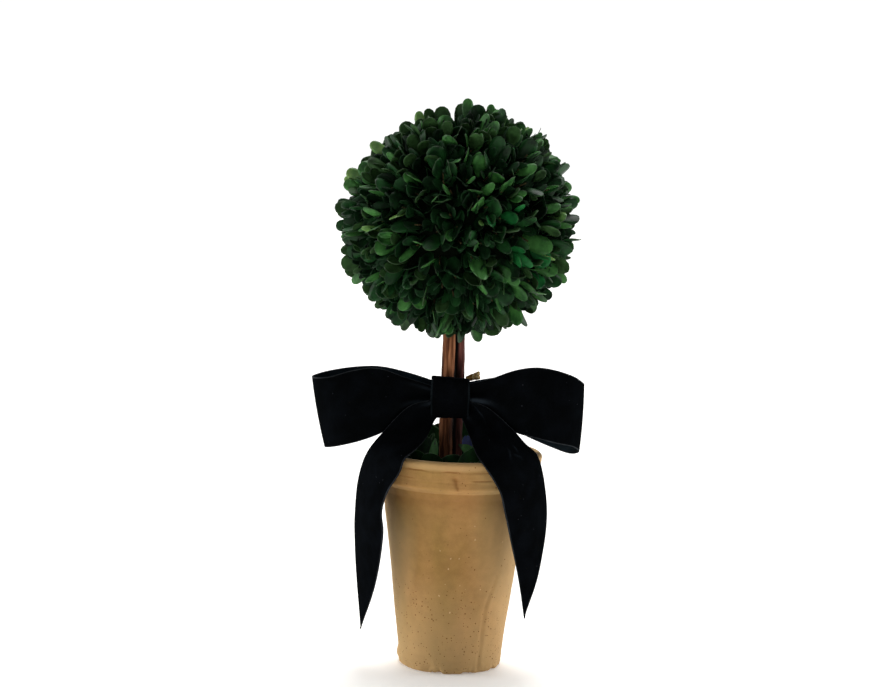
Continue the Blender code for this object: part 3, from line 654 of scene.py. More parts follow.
def stick_surface(foot, radii, phase, seed):
    """A stick's surface, with ridges, fibres and knots of bark up to a few tenths of a mm."""
    def surface(turn, share):
        height = STICK_FOOT + (STICK_TOP - STICK_FOOT) * share
        sway = STICK_WAVER * math.sin(height * STICK_WAVES + phase)
        out = Vector((math.cos(turn), math.sin(turn), 0))
        ridges = noise.noise(Vector((out.x * 2.6, out.y * 2.6, height * 55 + seed)))
        fibres = noise.noise(Vector((out.x * 7, out.y * 7, height * 90 + seed)))
        knots = noise.noise(Vector((out.x, out.y, height * 160 + seed)))
        radius = radii[0] + (radii[1] - radii[0]) * share
        radius += 0.00038 * ridges + 0.00016 * fibres + 0.00022 * knots - 0.0001
        across = foot[0] + STICK_LEAN * (height - POT_HEIGHT) + sway
        return Vector((across, foot[1] + sway / 2, height)) + out * radius
    return surface


for node, foot, radii, phase, seed, bark in (
        ("stick_left", LEFT_STICK, LEFT_STICK_RADII, 0.4, 3.0, front_bark),
        ("stick_right", RIGHT_STICK, RIGHT_STICK_RADII, 2.2, 19.0, back_bark)):
    shape = rolled(STICK_AROUND, STICK_ALONG, stick_surface(foot, radii, phase, seed))
    stick = dress(show(node + "_bark", shape, [bark]), "bark", node)
    print(stick.name, len(stick.data.polygons), "faces")


# %% The cut side shoot, torn at its end
SHOOT_ROOT = Vector((0.00535, 0.0036, 0.2058))
SHOOT_END = Vector((0.0142, 0.0018, 0.2090))
SHOOT_AXIS = (SHOOT_END - SHOOT_ROOT).normalized()
SHOOT_LENGTH = (SHOOT_END - SHOOT_ROOT).length
FRAYED_FROM = 0.8           # share of its length
TORN_FROM = 0.60


def shoot_surface(turn, share):
    side = SHOOT_AXIS.cross(Vector((0, 1, 0))).normalized()
    out = side * math.cos(turn) + SHOOT_AXIS.cross(side) * math.sin(turn)
    frayed = 0.0022 * noise.noise(out * 2.5) if share > FRAYED_FROM else 0.0
    radius = 0.0018 + 0.0011 * share + 0.0005 * noise.noise(out * 3 + Vector((0, 0, share * 6)))
    if share > 0.98:
        radius *= 0.6
    return SHOOT_ROOT + SHOOT_AXIS * (SHOOT_LENGTH * share + frayed) + out * radius


shape = rolled(20, 24, shoot_surface)
for face in shape.faces:
    middle = face.calc_center_median()
    reach = (middle - SHOOT_ROOT).length / SHOOT_LENGTH
    face.material_index = 1 if reach > TORN_FROM + 0.2 * noise.noise(middle * 900) else 0
ochre_bark = bark_finish("ochre bark of a young shoot", ("5E3C1A", "8A6230", "B48A4E"))
dress(show("cut_shoot", shape, [ochre_bark, cut_wood]), "bark", "side_shoot")
print("shoot", round(SHOOT_LENGTH / MILLIMETRE, 1), "mm long")

# %% [markdown]
# ## The ball
# Each sprig is a twig with pairs of leaves, every pair turned a quarter from the last. The lower
# pairs lean out and the top pair is nearly shut, so that leaf tips cover the ball and dark gaps
# run in between them. Leaves could be strewn over a sphere at random, but that leaves holes and
# clumps. The directions follow the golden angle, as the solid's do, with about four times as
# many sprigs, and their leaves end at the same clipped surface. Neighbouring sprigs lean the
# same way, which gives the swirls that hands leave in a real ball.
#
# Preserved leaves take up dye unevenly, so the colours are a handful of plain finishes, dealt
# out sprig by sprig. A leaf that ends deep in the ball gets a darker one: painted shade, where
# the leaves above shut out the light.

# %% Box leaves: finishes dealt out by sprig
BALL_CENTRE = Vector((-0.0047, 0.0, 0.3180))
RIM = leaf_finish("dry rim of a box leaf", "15280E", "2A4422", 0.5)
UNDERSIDE = leaf_finish("matt grey-green underside of a box leaf", "162C10", "34552C", 0.6,
                        shine=0.15)
skins = {}                  # the finish of each tone
deal = []                   # the tones that sprigs are dealt, each as often as its share
for tone, share, name, dark, light, gloss, shine in (
        ("dark", 10, "dark box leaf, glycerine-soft", "0A200D", "1A441E", 0.45, 0.15),
        ("mid", 8, "mid-green box leaf, glycerine-soft", "194019", "417538", 0.45, 0.18),
        ("emerald", 1, "emerald box leaf, strongly dyed", "0D441E", "1E6A32", 0.45, 0.15),
        ("light", 1, "yellow-green young box leaf", "3C622E", "688A46", 0.42, 0.22),
        ("deep_painted_shade_dark", 0, "dark box leaf, painted darker as shade", "061508", "102E15", 0.55, 0.10),
        ("deep_painted_shade_mid", 0, "mid-green box leaf, painted darker as shade", "071909", "15381A", 0.55, 0.10)):
    skins[tone] = leaf_finish(name, dark, light, gloss, shine=shine)
    deal += [tone] * share
# A leaf that ends deep in the ball takes a darker finish, as painted shade.
DEEP_SHARE = 0.925          # a leaf whose tip ends below this share of the radius is a deep one
# Directions whose sprigs are all young or all strongly dyed.
TINTED = (
    ((-0.51, -0.85, 0.14), "light"), ((-0.74, -0.67, -0.07), "light"),
    ((-0.08, -0.95, -0.30), "light"), ((-0.81, -0.41, -0.42), "light"),
    ((0.39, -0.27, 0.88), "light"), ((0.90, -0.43, 0.02), "light"),
    ((0.51, -0.85, -0.12), "emerald"), ((0.47, -0.86, 0.21), "emerald"),
    ((-0.87, -0.12, -0.48), "emerald"), ((0.40, 0.80, 0.45), "light"),
    ((-0.60, 0.78, 0.15), "emerald"), ((0.15, 0.90, -0.40), "light"),
)
TINTED_SPREAD = math.radians(7)
print("of every", len(deal), "sprigs,", deal.count("dark"), "are dark")

# %% Sizes of the ball and its sprigs
BALL_RADIUS = 0.0888
SPRIG_COUNT = 360
SPRIG_ROOT = 0.0520
SPRIG_REACH = 0.0750        # end of its twig
SPRIG_END = 0.0780          # its leaves' middle, where it is tested against the sticks
SPRIG_CLEARANCE = 0.0030
LEAF_CLEARANCE = 0.0015
GOLDEN_ANGLE = math.pi * (3 - math.sqrt(5))
AIM_SCATTER = 0.06
SWIRL = 0.60                # how far sprigs lean with their neighbours
FLAT_SIDE = Vector((-0.52, 0.0, 0.85)).normalized()
FLATTENING = 0.0065
LEAN_SCATTER = 9            # degrees
TURN_SCATTER, ROLL_SCATTER = 0.4, 0.9
BASE_SCATTER = 0.002
LENGTH_SCATTER = (0.72, 1.16)
CLIPPED_AT = (0.87, 0.90, 0.93, 0.96, 0.985, 1.02)      # shares of the ball's radius
SHORTENED = 0.86            # the second try of a leaf that reaches too far
# Pairs of one sprig: distance from the ball's centre, leaf length, and lean in degrees.
PAIRS = (
    (0.0550, 0.0275, 30),
    (0.0585, 0.0270, 21),
    (0.0622, 0.0250, 13),
    (0.0665, 0.0210, 6),
)
# Leaves that stick out: direction, how far the tip reaches, the leans in degrees, the tone.
STRAYS = (
    ((0.06, -0.05, 1.00), 0.0875, (2,), "mid"), ((0.31, -0.05, 0.95), 0.0890, (24,), "mid"),
    ((0.40, -0.05, 0.91), 0.0885, (14,), "light"), ((0.56, -0.05, 0.83), 0.0850, (-17, 13), "mid"),
    ((0.69, -0.05, 0.73), 0.0875, (5,), "mid"), ((-0.93, -0.05, 0.37), 0.0868, (-6, 16), "light"),
    ((-0.97, -0.05, 0.25), 0.0860, (-15,), "mid"), ((-0.99, -0.05, 0.14), 0.0880, (4,), "dark"),
    ((-1.00, -0.05, -0.08), 0.0868, (-6,), "dark"), ((0.97, -0.05, 0.25), 0.0890, (-9,), "mid"),
    ((0.99, -0.05, 0.16), 0.0880, (12,), "dark"), ((0.91, -0.05, -0.42), 0.0890, (-8,), "mid"),
    ((0.78, -0.05, -0.63), 0.0868, (9,), "dark"), ((-0.42, -0.05, 0.91), 0.0830, (-12,), "light"),
    ((-0.74, -0.05, 0.67), 0.0835, (7,), "light"), ((0.30, 0.80, 0.52), 0.0875, (-17, 13), "mid"),
    ((-0.55, 0.70, -0.45), 0.0868, (-17, 13), "mid"),
    ((0.10, 0.95, 0.30), 0.0870, (-17, 13), "dark"),
    ((-0.60, 0.60, 0.53), 0.0872, (-17, 13), "mid"), ((0.70, 0.65, -0.30), 0.0865, (8,), "dark"),
)
STRAY_LEAF = 0.0195
nearest, *_, furthest = (round(BALL_RADIUS * share / MILLIMETRE) for share in CLIPPED_AT)
print("leaves are clipped", nearest, "to", furthest, "mm from the ball's middle")

# %% Box leaf and twig patterns
BOX_LEAF_THICKNESS = 0.014  # as a share of its length
box_blades = [blade("box leaf", half, broadest, fold, arch, BOX_LEAF_THICKNESS, twist=twist)
              for half, broadest, fold, arch, twist in (
                  (0.22, 0.66, 0.34, 0.12, 0.10), (0.19, 0.70, 0.24, 0.19, -0.25),
                  (0.25, 0.70, 0.34, 0.05, 0.12), (0.16, 0.58, 0.30, 0.26, 0.32),
                  (0.23, 0.74, 0.15, -0.08, -0.14))]
shape = bmesh.new()
bmesh.ops.create_cone(shape, cap_ends=True, segments=5, radius1=0.045, radius2=0.02, depth=1.0)
bmesh.ops.translate(shape, verts=shape.verts, vec=(0, 0, 0.5))
bmesh.ops.rotate(shape, verts=shape.verts, matrix=Matrix.Rotation(math.pi / 2, 3, "Y"))
twig_pattern = bpy.data.meshes.new("twig")
shape.to_mesh(twig_pattern)
shape.free()
print("a box leaf has", len(box_blades[0].polygons), "faces")


# %% Where sprigs may grow
def near_sticks(point, margin):
    """Whether a point is within a margin of a stick."""
    for foot, radii in ((LEFT_STICK, LEFT_STICK_RADII), (RIGHT_STICK, RIGHT_STICK_RADII)):
        middle = foot[0] + STICK_LEAN * (point.z - POT_HEIGHT)
        away = math.hypot(point.x - middle, point.y - foot[1])
        if point.z < STICK_TOP and away < radii[0] + STICK_WAVER + margin:
            return True
    return False


def clipping(direction):
    """How far the ball reaches in a direction, over its radius: it is flatter on one side."""
    facing = max(0.0, direction.dot(FLAT_SIDE))
    return 1 - FLATTENING / BALL_RADIUS * facing ** 3


def spread_directions(count):
    """Directions spread evenly over a sphere, one golden angle after the other."""
    for index in range(count):
        height = 1 - 2 * (index + 0.5) / count
        ring = math.sqrt(1 - height * height)
        turn = GOLDEN_ANGLE * index
        yield Vector((ring * math.cos(turn), ring * math.sin(turn), height))


def swirl(direction):
    """The sideways lean that a sprig shares with its neighbours."""
    sideways = Vector([noise.noise(direction * 1.7 + Vector((seed, 0, 0))) for seed in (3, 9, 15)])
    return (sideways - direction * sideways.dot(direction)) * SWIRL


shares = [clipping(direction) for direction in spread_directions(SPRIG_COUNT)]
print("its flatter side is cut back by", round((1 - min(shares)) * 100, 1), "%")


# %% One sprig
def sprig(direction, rows, tones, share):
    """Add one sprig's (pattern, placing) pairs to the sprays of its tones, and its twig.

    The top pair is younger, so it takes the second of the sprig's two tones.
    """
    if near_sticks(BALL_CENTRE + direction * SPRIG_END, SPRIG_CLEARANCE):
        return
    root = BALL_CENTRE + direction * SPRIG_ROOT * share
    stem = (direction + swirl(direction)).normalized()
    upright = Vector((0, 0, 1)) if abs(stem.z) < 0.9 else Vector((1, 0, 0))
    side = stem.cross(upright).normalized()
    side = Matrix.Rotation(chance.uniform(0, math.tau), 3, stem) @ side
    twigs.append((twig_pattern, frame_along(stem, side, root, (SPRIG_REACH - SPRIG_ROOT) * share)))
    for row, (start, size, spread) in enumerate(rows):
        for sign in (-1, 1):
            lean = math.radians(spread + chance.uniform(-LEAN_SCATTER, LEAN_SCATTER))
            turn = math.pi / 2 * row + chance.uniform(-TURN_SCATTER, TURN_SCATTER)
            outward = Matrix.Rotation(turn, 3, stem) @ side * sign
            axis = stem * math.cos(lean) + outward * math.sin(lean)
            length = size * chance.uniform(*LENGTH_SCATTER)
            slip = chance.uniform(-BASE_SCATTER, BASE_SCATTER)
            base = root + stem * ((start - SPRIG_ROOT) * share + slip)
            roll = Matrix.Rotation(chance.uniform(-ROLL_SCATTER, ROLL_SCATTER), 3, axis)
            across = roll @ stem.cross(outward)
            limit = BALL_RADIUS * share * chance.choice(CLIPPED_AT)
            if (base + axis * length - BALL_CENTRE).length > limit:
                length *= SHORTENED
            tip = (base + axis * length - BALL_CENTRE).length
            if tip > limit:
                continue
            points = [base + axis * length * part for part in (0.3, 0.65, 1.0)]
            if any(near_sticks(point, LEAF_CLEARANCE) for point in points):
                continue
            tone = tones[row == len(rows) - 1]
            # A leaf that ends deep in the ball is painted darker, as shade.
            if tip < BALL_RADIUS * share * DEEP_SHARE:
                tone = "deep_painted_shade_dark" if tone == "dark" else "deep_painted_shade_mid"
            placing = frame_along(axis, across, base, length)
            sprays[tone].append((chance.choice(box_blades), placing))


# %% Sprigs all over the ball
chance = random.Random(20)
sprays = {tone: [] for tone in skins}
twigs = []
for direction in spread_directions(SPRIG_COUNT):
    jitter = Vector([chance.uniform(-AIM_SCATTER, AIM_SCATTER) for _ in range(3)])
    direction = (direction + jitter).normalized()
    # Only the top pair of a sprig may be dealt the last tone, which is the lightest.
    tones = [chance.choice(deal[:-1]), chance.choice(deal)]
    for spot, tone in TINTED:
        if direction.angle(Vector(spot)) < TINTED_SPREAD:
            tones = [tone, tone]
    drop = 0.0022 * noise.noise(direction * 3.1) - 0.0008
    rows = [(start + drop, size, spread) for start, size, spread in PAIRS]
    sprig(direction, rows, tones, clipping(direction))
print(len(twigs), "sprigs grew")

# %% Leaves that stick out
for direction, reach, leans, tone in STRAYS:
    stem = Vector(direction).normalized()
    outwards = Vector((0, math.copysign(1, stem.y), 0))
    for lean in map(math.radians, leans):
        axis = Matrix.Rotation(lean, 3, outwards) @ stem
        length = STRAY_LEAF * chance.uniform(0.88, 1.0)
        base = BALL_CENTRE + stem * (reach - STRAY_LEAF)
        sprays[tone].append((chance.choice(box_blades),
                             frame_along(axis, outwards.cross(axis), base, length)))
print("in all", sum(map(len, sprays.values())), "leaves")

# %% Join the leaves of each tone, and the twigs
for tone, skin in skins.items():
    shape, slots = scatter(sprays[tone]), [skin, RIM, UNDERSIDE]
    if tone.startswith("deep"):
        slots = [skin]
        for face in shape.faces:
            face.material_index = 0
    leaves = show(f"box_leaves_{tone}", shape, slots)
    dress(leaves, "box_leaf", "foliage_ball")
    print(leaves.name, len(sprays[tone]), "leaves,", len(leaves.data.polygons) * 2, "triangles")
twig_bark = bark_finish("thin green-brown twig bark", ("1E1A10", "3A3220", "5A5030"))
dress(show("box_twigs", scatter(twigs), [twig_bark]), "bark", "foliage_ball")

# %% [markdown]
# Behind the leaves the ball is shut by a core, as foam wrapped in moss shuts the real one. Its
# near-black colour is painted shade, which shows between the sprigs. Leaves could fill the ball
# right through, but nobody would see most of them, so a ball of small even triangles is made
# lumpy by noise.

# %% Core, near-black as painted shade
CORE_RADIUS = 0.064
shape = bmesh.new()
bmesh.ops.create_icosphere(shape, subdivisions=5, radius=CORE_RADIUS)
for corner in shape.verts:
    lumps = 0.0016 * ripple(corner.co, 0.006, 61) + 0.0007 * ripple(corner.co, 0.002, 67)
    corner.co *= 1 + lumps / CORE_RADIUS
bmesh.ops.translate(shape, verts=shape.verts, vec=BALL_CENTRE)
moss = leaf_finish("core of foam and moss, near-black as painted shade", "060A05", "0C120A", 1.0, grain=1500.0,
                   shine=0.0)
core = dress(show("painted_shade_core", shape, [moss]), "box_leaf", "foliage_ball")
print("core", len(core.data.polygons), "faces")

# %% [markdown]
# ## Leaves over the filling
# Broad dried leaves are tucked round the sticks and lean outwards to the rim. They follow the
# solid's golden-angle rule with nearly three times as many blades, cut from the same kind of
# patterns as the box leaves. A rule alone would look combed, so some leaves near the sticks
# have a place of their own. Below them a near-black mat, painted shade, closes the view to the
# foam.

# %% Cover leaf patterns and finishes
BROAD, BROADER, FLATTER = cover_blades = [
    blade("cover leaf", half, broadest, fold, arch, 0.016, steps=(10, 6), margin=0.09, twist=twist)
    for half, broadest, fold, arch, twist in (
        (0.28, 0.55, 0.22, 0.10, 0.10), (0.24, 0.50, 0.30, 0.20, -0.15),
        (0.30, 0.58, 0.15, -0.05, 0.05))]
SLIM = blade("lance leaf", 0.11, 0.40, 0.5, 0.06, 0.014, steps=(10, 6), margin=0.18)
WEDGE = blade("young leaf", 0.20, 0.30, 0.35, 0.05, 0.02, steps=(10, 6), margin=0.12, blunt=1.0)

# The broad leaves are dark partly in their own colour and partly as the bow's painted shadow.
COVER = leaf_finish("dark broad leaf, dried and oiled", "091D0D", "143A19", 0.5, shine=0.08)
COVER_RIM = leaf_finish("pale margin of a broad leaf", "223A20", "456040", 0.5)
COVER_BACK = leaf_finish("grey-green back of a broad leaf", "0C1E0E", "17341A", 0.7, shine=0.05)
FRESH = leaf_finish("broad leaf, still green, with the bow's painted shadow", "0C260E", "1A4219", 0.5, shine=0.08)
BRIGHT = leaf_finish("bright young leaf", "2E5E2C", "5A8E50", 0.5)
VIOLET = leaf_finish("leaf with a blue-violet bloom", "2E3A68", "4A5890", 0.5)
print("a cover leaf has", len(BROAD.polygons), "faces")

# %% Cover leaves in a golden-angle spiral
FILL_TOP = 0.1405
FILL_CROWN = 0.0015
CLEARANCE = 0.0003
BED_THICKNESS = 0.0042
BED_SPROUTS = 95
BED_LEAF = 0.028
BED_LENGTHS = (0.75, 1.08)  # its length over BED_LEAF
BED_ROOT_RING = 0.0120      # from the bed's edge to the outermost roots
BACK_RISE, FRONT_RISE = (8, 30), (3, 12)        # degrees above level
BED_SWING = 0.8             # turn from pointing straight out, in radians
BED_ROLL = 0.4
RIM_CLEARANCE = 0.001

chance = random.Random(21)
bed_top = FILL_TOP + FILL_CROWN + CLEARANCE + BED_THICKNESS
bed_edge = inner_radius(FILL_TOP) - 2 * CLEARANCE
tip_limit = inner_radius(0.150) - RIM_CLEARANCE
cover = []
for index in range(1, BED_SPROUTS + 1):
    ring = math.sqrt(index / BED_SPROUTS) * (bed_edge - BED_ROOT_RING)
    outward = Matrix.Rotation(GOLDEN_ANGLE * index, 3, "Z") @ Vector((1, 0, 0))
    base = outward * ring + Vector((0, 0, bed_top + chance.uniform(-0.002, 0.001)))
    lean = math.radians(chance.uniform(*(BACK_RISE if base.y > 0 else FRONT_RISE)))
    level = Matrix.Rotation(chance.uniform(-BED_SWING, BED_SWING), 3, "Z") @ outward
    axis = level * math.cos(lean) + Vector((0, 0, math.sin(lean)))
    length = BED_LEAF * chance.uniform(*BED_LENGTHS)
    side = Vector((0, 0, 1)).cross(axis).normalized()
    side = Matrix.Rotation(chance.uniform(-BED_ROLL, BED_ROLL), 3, axis) @ side
    while (base + axis * length).xy.length > tip_limit:
        length *= 0.9
    points = [base + axis * length * part for part in (0, 0.3, 0.6, 1)]
    if not any(near_sticks(point, LEAF_CLEARANCE) for point in points):
        cover.append((chance.choice(cover_blades), frame_along(axis, side, base, length)))
covers = show("cover_leaves", scatter(cover), [COVER, COVER_RIM, COVER_BACK])
dress(covers, "cover_leaf", "pot_leaves")
print("bed", len(cover), "cover leaves")


# %% Cover leaves that have a place
def lone_leaf(name, pattern, root, tip, side, skin):
    """One leaf at a set place, from root to tip in millimetres."""
    start, end = Vector(root) * MILLIMETRE, Vector(tip) * MILLIMETRE
    placing = frame_along(end - start, Vector(side), start, (end - start).length)
    leaf = show(name, scatter([(pattern, placing)]), [skin, COVER_RIM, COVER_BACK])
    dress(leaf, "cover_leaf", "pot_leaves")


FACING = (-1, 0, 0)
UPWARD = (-0.5, 0, 0.85)
ODD = (
    ("bright_wedge_leaf", WEDGE, (-17.2, -16, 147.5), (-15.3, -14, 165), FACING, BRIGHT),
    ("lance_leaf", SLIM, (-24, -14, 148), (-16.5, -6, 168), FACING, FRESH),
    ("second_lance_leaf", SLIM, (-21, 4, 144), (-13, 3, 168), FACING, FRESH),
    ("pale_green_leaf", BROADER, (1.2, -3, 159.5), (14, -5, 153), (0.45, 0, 0.9), BRIGHT),
    ("violet_leaf", BROADER, (8.6, 8, 147), (6.4, 9, 164), FACING, VIOLET),
)
STANDING = (
    (BROAD, (-31, -10, 147), (-15, -2, 172.5), FACING, FRESH),
    (FLATTER, (-26, -16, 147), (-21.5, -12, 166), FACING, COVER),
    (BROADER, (-16, 14, 143), (-13.5, 16, 171), FACING, COVER),
    (BROAD, (-26, 13, 143), (-20, 16, 166), FACING, COVER),
    (FLATTER, (-10, 19, 143), (-8, 20, 166), FACING, COVER),
    (BROAD, (-3, 21, 143), (-2, 22, 165), FACING, COVER),
    (BROAD, (14, 17, 143), (7.5, 15, 176), FACING, COVER),
    (FLATTER, (4, 20, 143), (4, 20, 166), FACING, COVER),
    (BROAD, (22, 15, 143), (19, 17, 165), FACING, COVER),
    (BROAD, (-16, -22, 145), (4, -28, 152), UPWARD, COVER),
    (FLATTER, (-6, -27, 144), (-24, -33, 154), (0.5, 0, 0.85), COVER),
    (BROADER, (-1, -30, 146), (18, -31, 161), UPWARD, FRESH),
    (BROAD, (8, -12, 147), (17, -20, 161), FACING, COVER),
    (BROAD, (-20, -22, 146), (-31, -32, 157), FACING, COVER),
    (FLATTER, (20, -14, 144), (36, -26, 157), FACING, COVER),
)
for leaf in ODD:
    lone_leaf(*leaf)
for number, leaf in enumerate(STANDING, 1):
    lone_leaf(f"standing_leaf_{number}", *leaf)
print(len(ODD + STANDING), "leaves have a place")

# %% Mat under the cover leaves, near-black as painted shade
MAT_SINK = 0.0030
MAT_RING = 0.012
shape = bmesh.new()
bmesh.ops.create_circle(shape, cap_ends=True, segments=96, radius=bed_edge)
bmesh.ops.translate(shape, verts=shape.verts, vec=(0, 0, bed_top - MAT_SINK))
for _ in range(2):
    middle = max(shape.faces, key=lambda face: len(face.verts))
    bmesh.ops.inset_region(shape, faces=[middle], thickness=MAT_RING)
mat = leaf_finish("near-black mat under the leaves, painted shade", "081208", "122012", 1.0, grain=900.0, shine=0.0)
dress(show("leaf_mat", shape, [mat]), "cover_leaf", "pot_leaves")
print("the mat lies", round((bed_top - MAT_SINK) / MILLIMETRE, 1), "mm above the floor")

# %% [markdown]
# ## Velvet
# Velvet is a dense pile on a woven back. Hair could be grown for it, but the pile is shorter
# than a pixel, so a finish does it. Black pile swallows light, so its base is nearly black with
# no gloss, and only a sheen at grazing angles draws the folds. Along the crests of folds it is
# painted greyer: a painted highlight, where the pile is also rubbed. The back is a smoother
# blue-black satin, and the selvedges are a paler line of bound threads, also painted lighter as
# a highlight along the edges.

# %% Ribbon finishes
def velvet_finish(name, base, light, rough, sheen):
    """Black velvet pile: it drinks light, with a little sheen along the folds and some lint."""
    pile = finish(name, base, {"Roughness": rough, "Specular IOR Level": 0.0, "Sheen Weight": sheen,
                               "Sheen Roughness": 0.35, "Sheen Tint": colour("AEB6C8")})
    place = add(pile, "TexCoord")
    # The nap is brushed in patches of a centimetre. Lint is half a millimetre, and 6 mm apart.
    nap = add(pile, "TexNoise", {"Vector": (place, "Object"), "Scale": 90.0, "Detail": 3.0})
    brushed = add(pile, "ValToRGB", {"Fac": (nap, "Fac")}, [(0.38, base), (0.75, light)])
    specks = add(pile, "TexVoronoi", {"Vector": (place, "Object"), "Scale": 160.0})
    lint = add(pile, "Math", {0: (specks, "Distance"), 1: 0.035}, operation="LESS_THAN")
    rubbed_and_lit = add(pile, "Attribute", attribute_name="rubbed_and_lit")
    hue = (brushed, "Color")
    # Lint is its own colour. The crests of folds are painted grey: a painted highlight, where the
    # pile is also rubbed.
    for mask, code in (((lint, 0), "4A4C52"), ((rubbed_and_lit, "Fac"), "22282E")):
        hue = (add(pile, "MixRGB", {"Fac": mask, "Color1": hue, "Color2": colour(code)}), "Color")
    # Tufts are drawn 0.6 mm across, coarser than real ones, so that they show.
    tufts = add(pile, "TexNoise", {"Vector": (place, "Object"), "Scale": 1600.0})
    bumps = add(pile, "Bump", {"Height": (tufts, "Fac"), "Strength": 0.4, "Distance": 0.0003})
    coat(pile, {"Base Color": hue, "Normal": (bumps, "Normal")})
    return pile


velvet = velvet_finish("black velvet pile", "050607", "080A0D", 1.0, 0.012)
satin_back = velvet_finish("blue-black woven satin back", "11171B", "1F282F", 0.50, 0.05)
# The selvedge is painted paler, partly as a highlight along the ribbon's edges.
selvedge = velvet_finish("bound selvedge threads, painted pale as a highlight", "1D1F21", "34373A", 0.7, 0.05)
# The knot's sides are painted paler: crushed pile, and partly a painted highlight.
crushed_and_lit = velvet_finish("velvet pile crushed at a fold, painted pale as a highlight", "0C1012", "171C1F", 0.9, 0.02)
print("velvet has", len(velvet.node_tree.nodes), "nodes")

# %% Ribbon stations, in millimetres: x, y, z of each edge, and the belly between them
LOOP_LEFT = (
    (-14, -16, 199.5, -14, -16, 190, 0),
    (-20, -17, 202.5, -20, -17, 187, 0),
    (-38.5, -20, 208.6, -34.8, -20, 182.2, 1.2),
    (-58, -26, 215.4, -51, -25.5, 170.8, 2),
    (-75, -30, 213.6, -66.5, -29, 164.4, 2),
    (-91, -30, 208.6, -81, -29, 160.2, 1.5),
    (-101, -23, 206.8, -91, -22, 157.4, 0.8),
    (-103.6, -13, 206.4, -93.4, -12.5, 156.9, 0.8),
    (-101, -3, 206.9, -91, -3, 157.6, 0.8),
    (-91, 2.5, 209.2, -81.5, 2.5, 160.6, 1.5),
    (-75, 3, 212, -67, 3, 165, 2),
    (-58, 0, 213.4, -51.5, 0, 172, 1.6),
    (-40, -4.8, 211.2, -36, -4.6, 181.5, 0.8),
    (-20, -9.6, 206, -20, -9.6, 187, 0),
    (-14, -10.5, 203, -14, -10.5, 189, 0),
)
LOOP_RIGHT = (
    (1, -16, 201, 1, -16, 190, 0),
    (7.2, -17, 204.5, 7.2, -17, 187, 0),
    (22.3, -20, 209.4, 20.6, -20, 184.2, 1.2),
    (38, -24, 216.2, 40, -24, 173, 2),
    (52.5, -27, 219.4, 56.5, -27, 169.2, 2),
    (66, -27.5, 218.2, 70, -27.5, 166.2, 1.6),
    (80, -23.5, 213.6, 81.5, -22.5, 163.4, 0.8),
    (88, -12.5, 207.2, 86.6, -9.5, 158.2, 0.8),
    (84.5, -2, 207.4, 81.5, 2, 154.6, 0.8),
    (70, 3, 209, 67.5, 5, 158.4, 1.6),
    (53, 3, 210.4, 50.5, 4, 165.4, 2),
    (36, 0, 210, 34, 0, 173.6, 1.6),
    (20.5, -5, 207.6, 19, -5, 184.2, 0.8),
    (7.2, -9.6, 205, 7.2, -9.6, 187.5, 0),
    (1, -10.5, 202, 1, -10.5, 190, 0),
)
TAIL_LEFT = (
    (-14, -17.6, 195.3, -12.5, -15.5, 184.8, 0),
    (-22, -20.6, 192.7, -16.6, -15.5, 176.7, 0),
    (-35.5, -25, 188, -21.5, -27, 167.5, 1),
    (-50.5, -29, 172.6, -29.5, -43, 160, 2.5),
    (-60.6, -23.5, 158.2, -36, -55, 156, 4.5),
    (-66.3, -14, 143.9, -40, -56.5, 146.4, 4),
    (-70.3, -9, 126.4, -47, -53.5, 133, 3),
    (-71.2, -7, 106, -50.4, -52.5, 118, 3),
    (-69.8, -6, 87, -49.8, -51, 101, 3),
    (-67.6, -5, 56, -55, -32, 62, 1.5),
    (-65.1, -4, 25, -64.8, -4.8, 23.2, 0),
)
TAIL_RIGHT = (
    (4, -17.6, 195, 1.8, -15.5, 183.5, 0),
    (11.2, -20.4, 192.4, 5, -15.5, 174.6, 0),
    (21.5, -24.6, 189, 9.4, -28, 166.8, 1),
    (38.5, -28.5, 175.4, 13.8, -47, 158.4, 2.5),
    (48, -26, 164.4, 19.4, -60.5, 152.8, 4),
    (56, -24.5, 156.8, 25, -64.5, 146.4, 5),
    (61, -26, 144.6, 30.3, -63.5, 136.4, 4),
    (63.6, -27, 130, 33.2, -63, 124, 3),
    (64.2, -27.5, 114, 37.4, -59.5, 109, 3),
    (63.1, -28, 93.2, 41.8, -53.5, 92, 2),
    (59.6, -29.5, 68, 46.2, -44, 70, 1),
    (51.5, -32, 43, 51, -32.6, 41.4, 0),
)
BAND_LINE = (
    (-13.9, -6.5), (-14, -2), (-12.3, 2.2), (-8.4, 5.8), (-4.6, 9.2),
    (-0.8, 10.6), (3.4, 8.8), (4.9, 4.8), (4.9, -0.5), (4.6, -6.5),
)
BAND_TOP, BAND_BOTTOM = 202.5, 185.0
BAND = [(x, y, BAND_TOP, x, y, BAND_BOTTOM, 0) for x, y in BAND_LINE]
print("the bow has", len(LOOP_LEFT + LOOP_RIGHT + TAIL_LEFT + TAIL_RIGHT) + len(BAND), "stations")

# %% [markdown]
# Cloth could be simulated, but a bow's shape is given by the hand that ties and arranges it. So
# a ribbon is a flat grid that is carried along stations by a smooth curve. Where it is gathered
# into the knot it is pleated, and the pleats die away within a few centimetres. The thickness
# comes last, with the satin as the second side and the selvedge as the rim.

# %% Ribbon shapes
RIBBON_THICKNESS = 0.0010
SELVEDGE_SHARE = 0.014      # of the ribbon's width
RUN_STEP = 0.02             # of a station, to each side, for the ribbon's direction
# Fold crests higher than these are painted lighter: a painted highlight, where the pile is also
# rubbed.
PLEAT_CREST = 0.0016        # heights of a fold and a crease at which the pile is rubbed bare
CREASE_CREST = 0.0009
MOST_CREST_LIGHT = 0.9


def along_curve(points, place):
    """The Catmull-Rom curve through points, at a place from 0 to len(points) - 1."""
    index = min(int(place), len(points) - 2)
    t = place - index
    line = [2 * points[0] - points[1], *points, 2 * points[-1] - points[-2]]
    before, start, end, after = line[index:index + 4]
    return 0.5 * (2 * start + (end - before) * t
                  + (2 * before - 5 * start + 4 * end - after) * t ** 2
                  + (3 * start - before - 3 * end + after) * t ** 3)


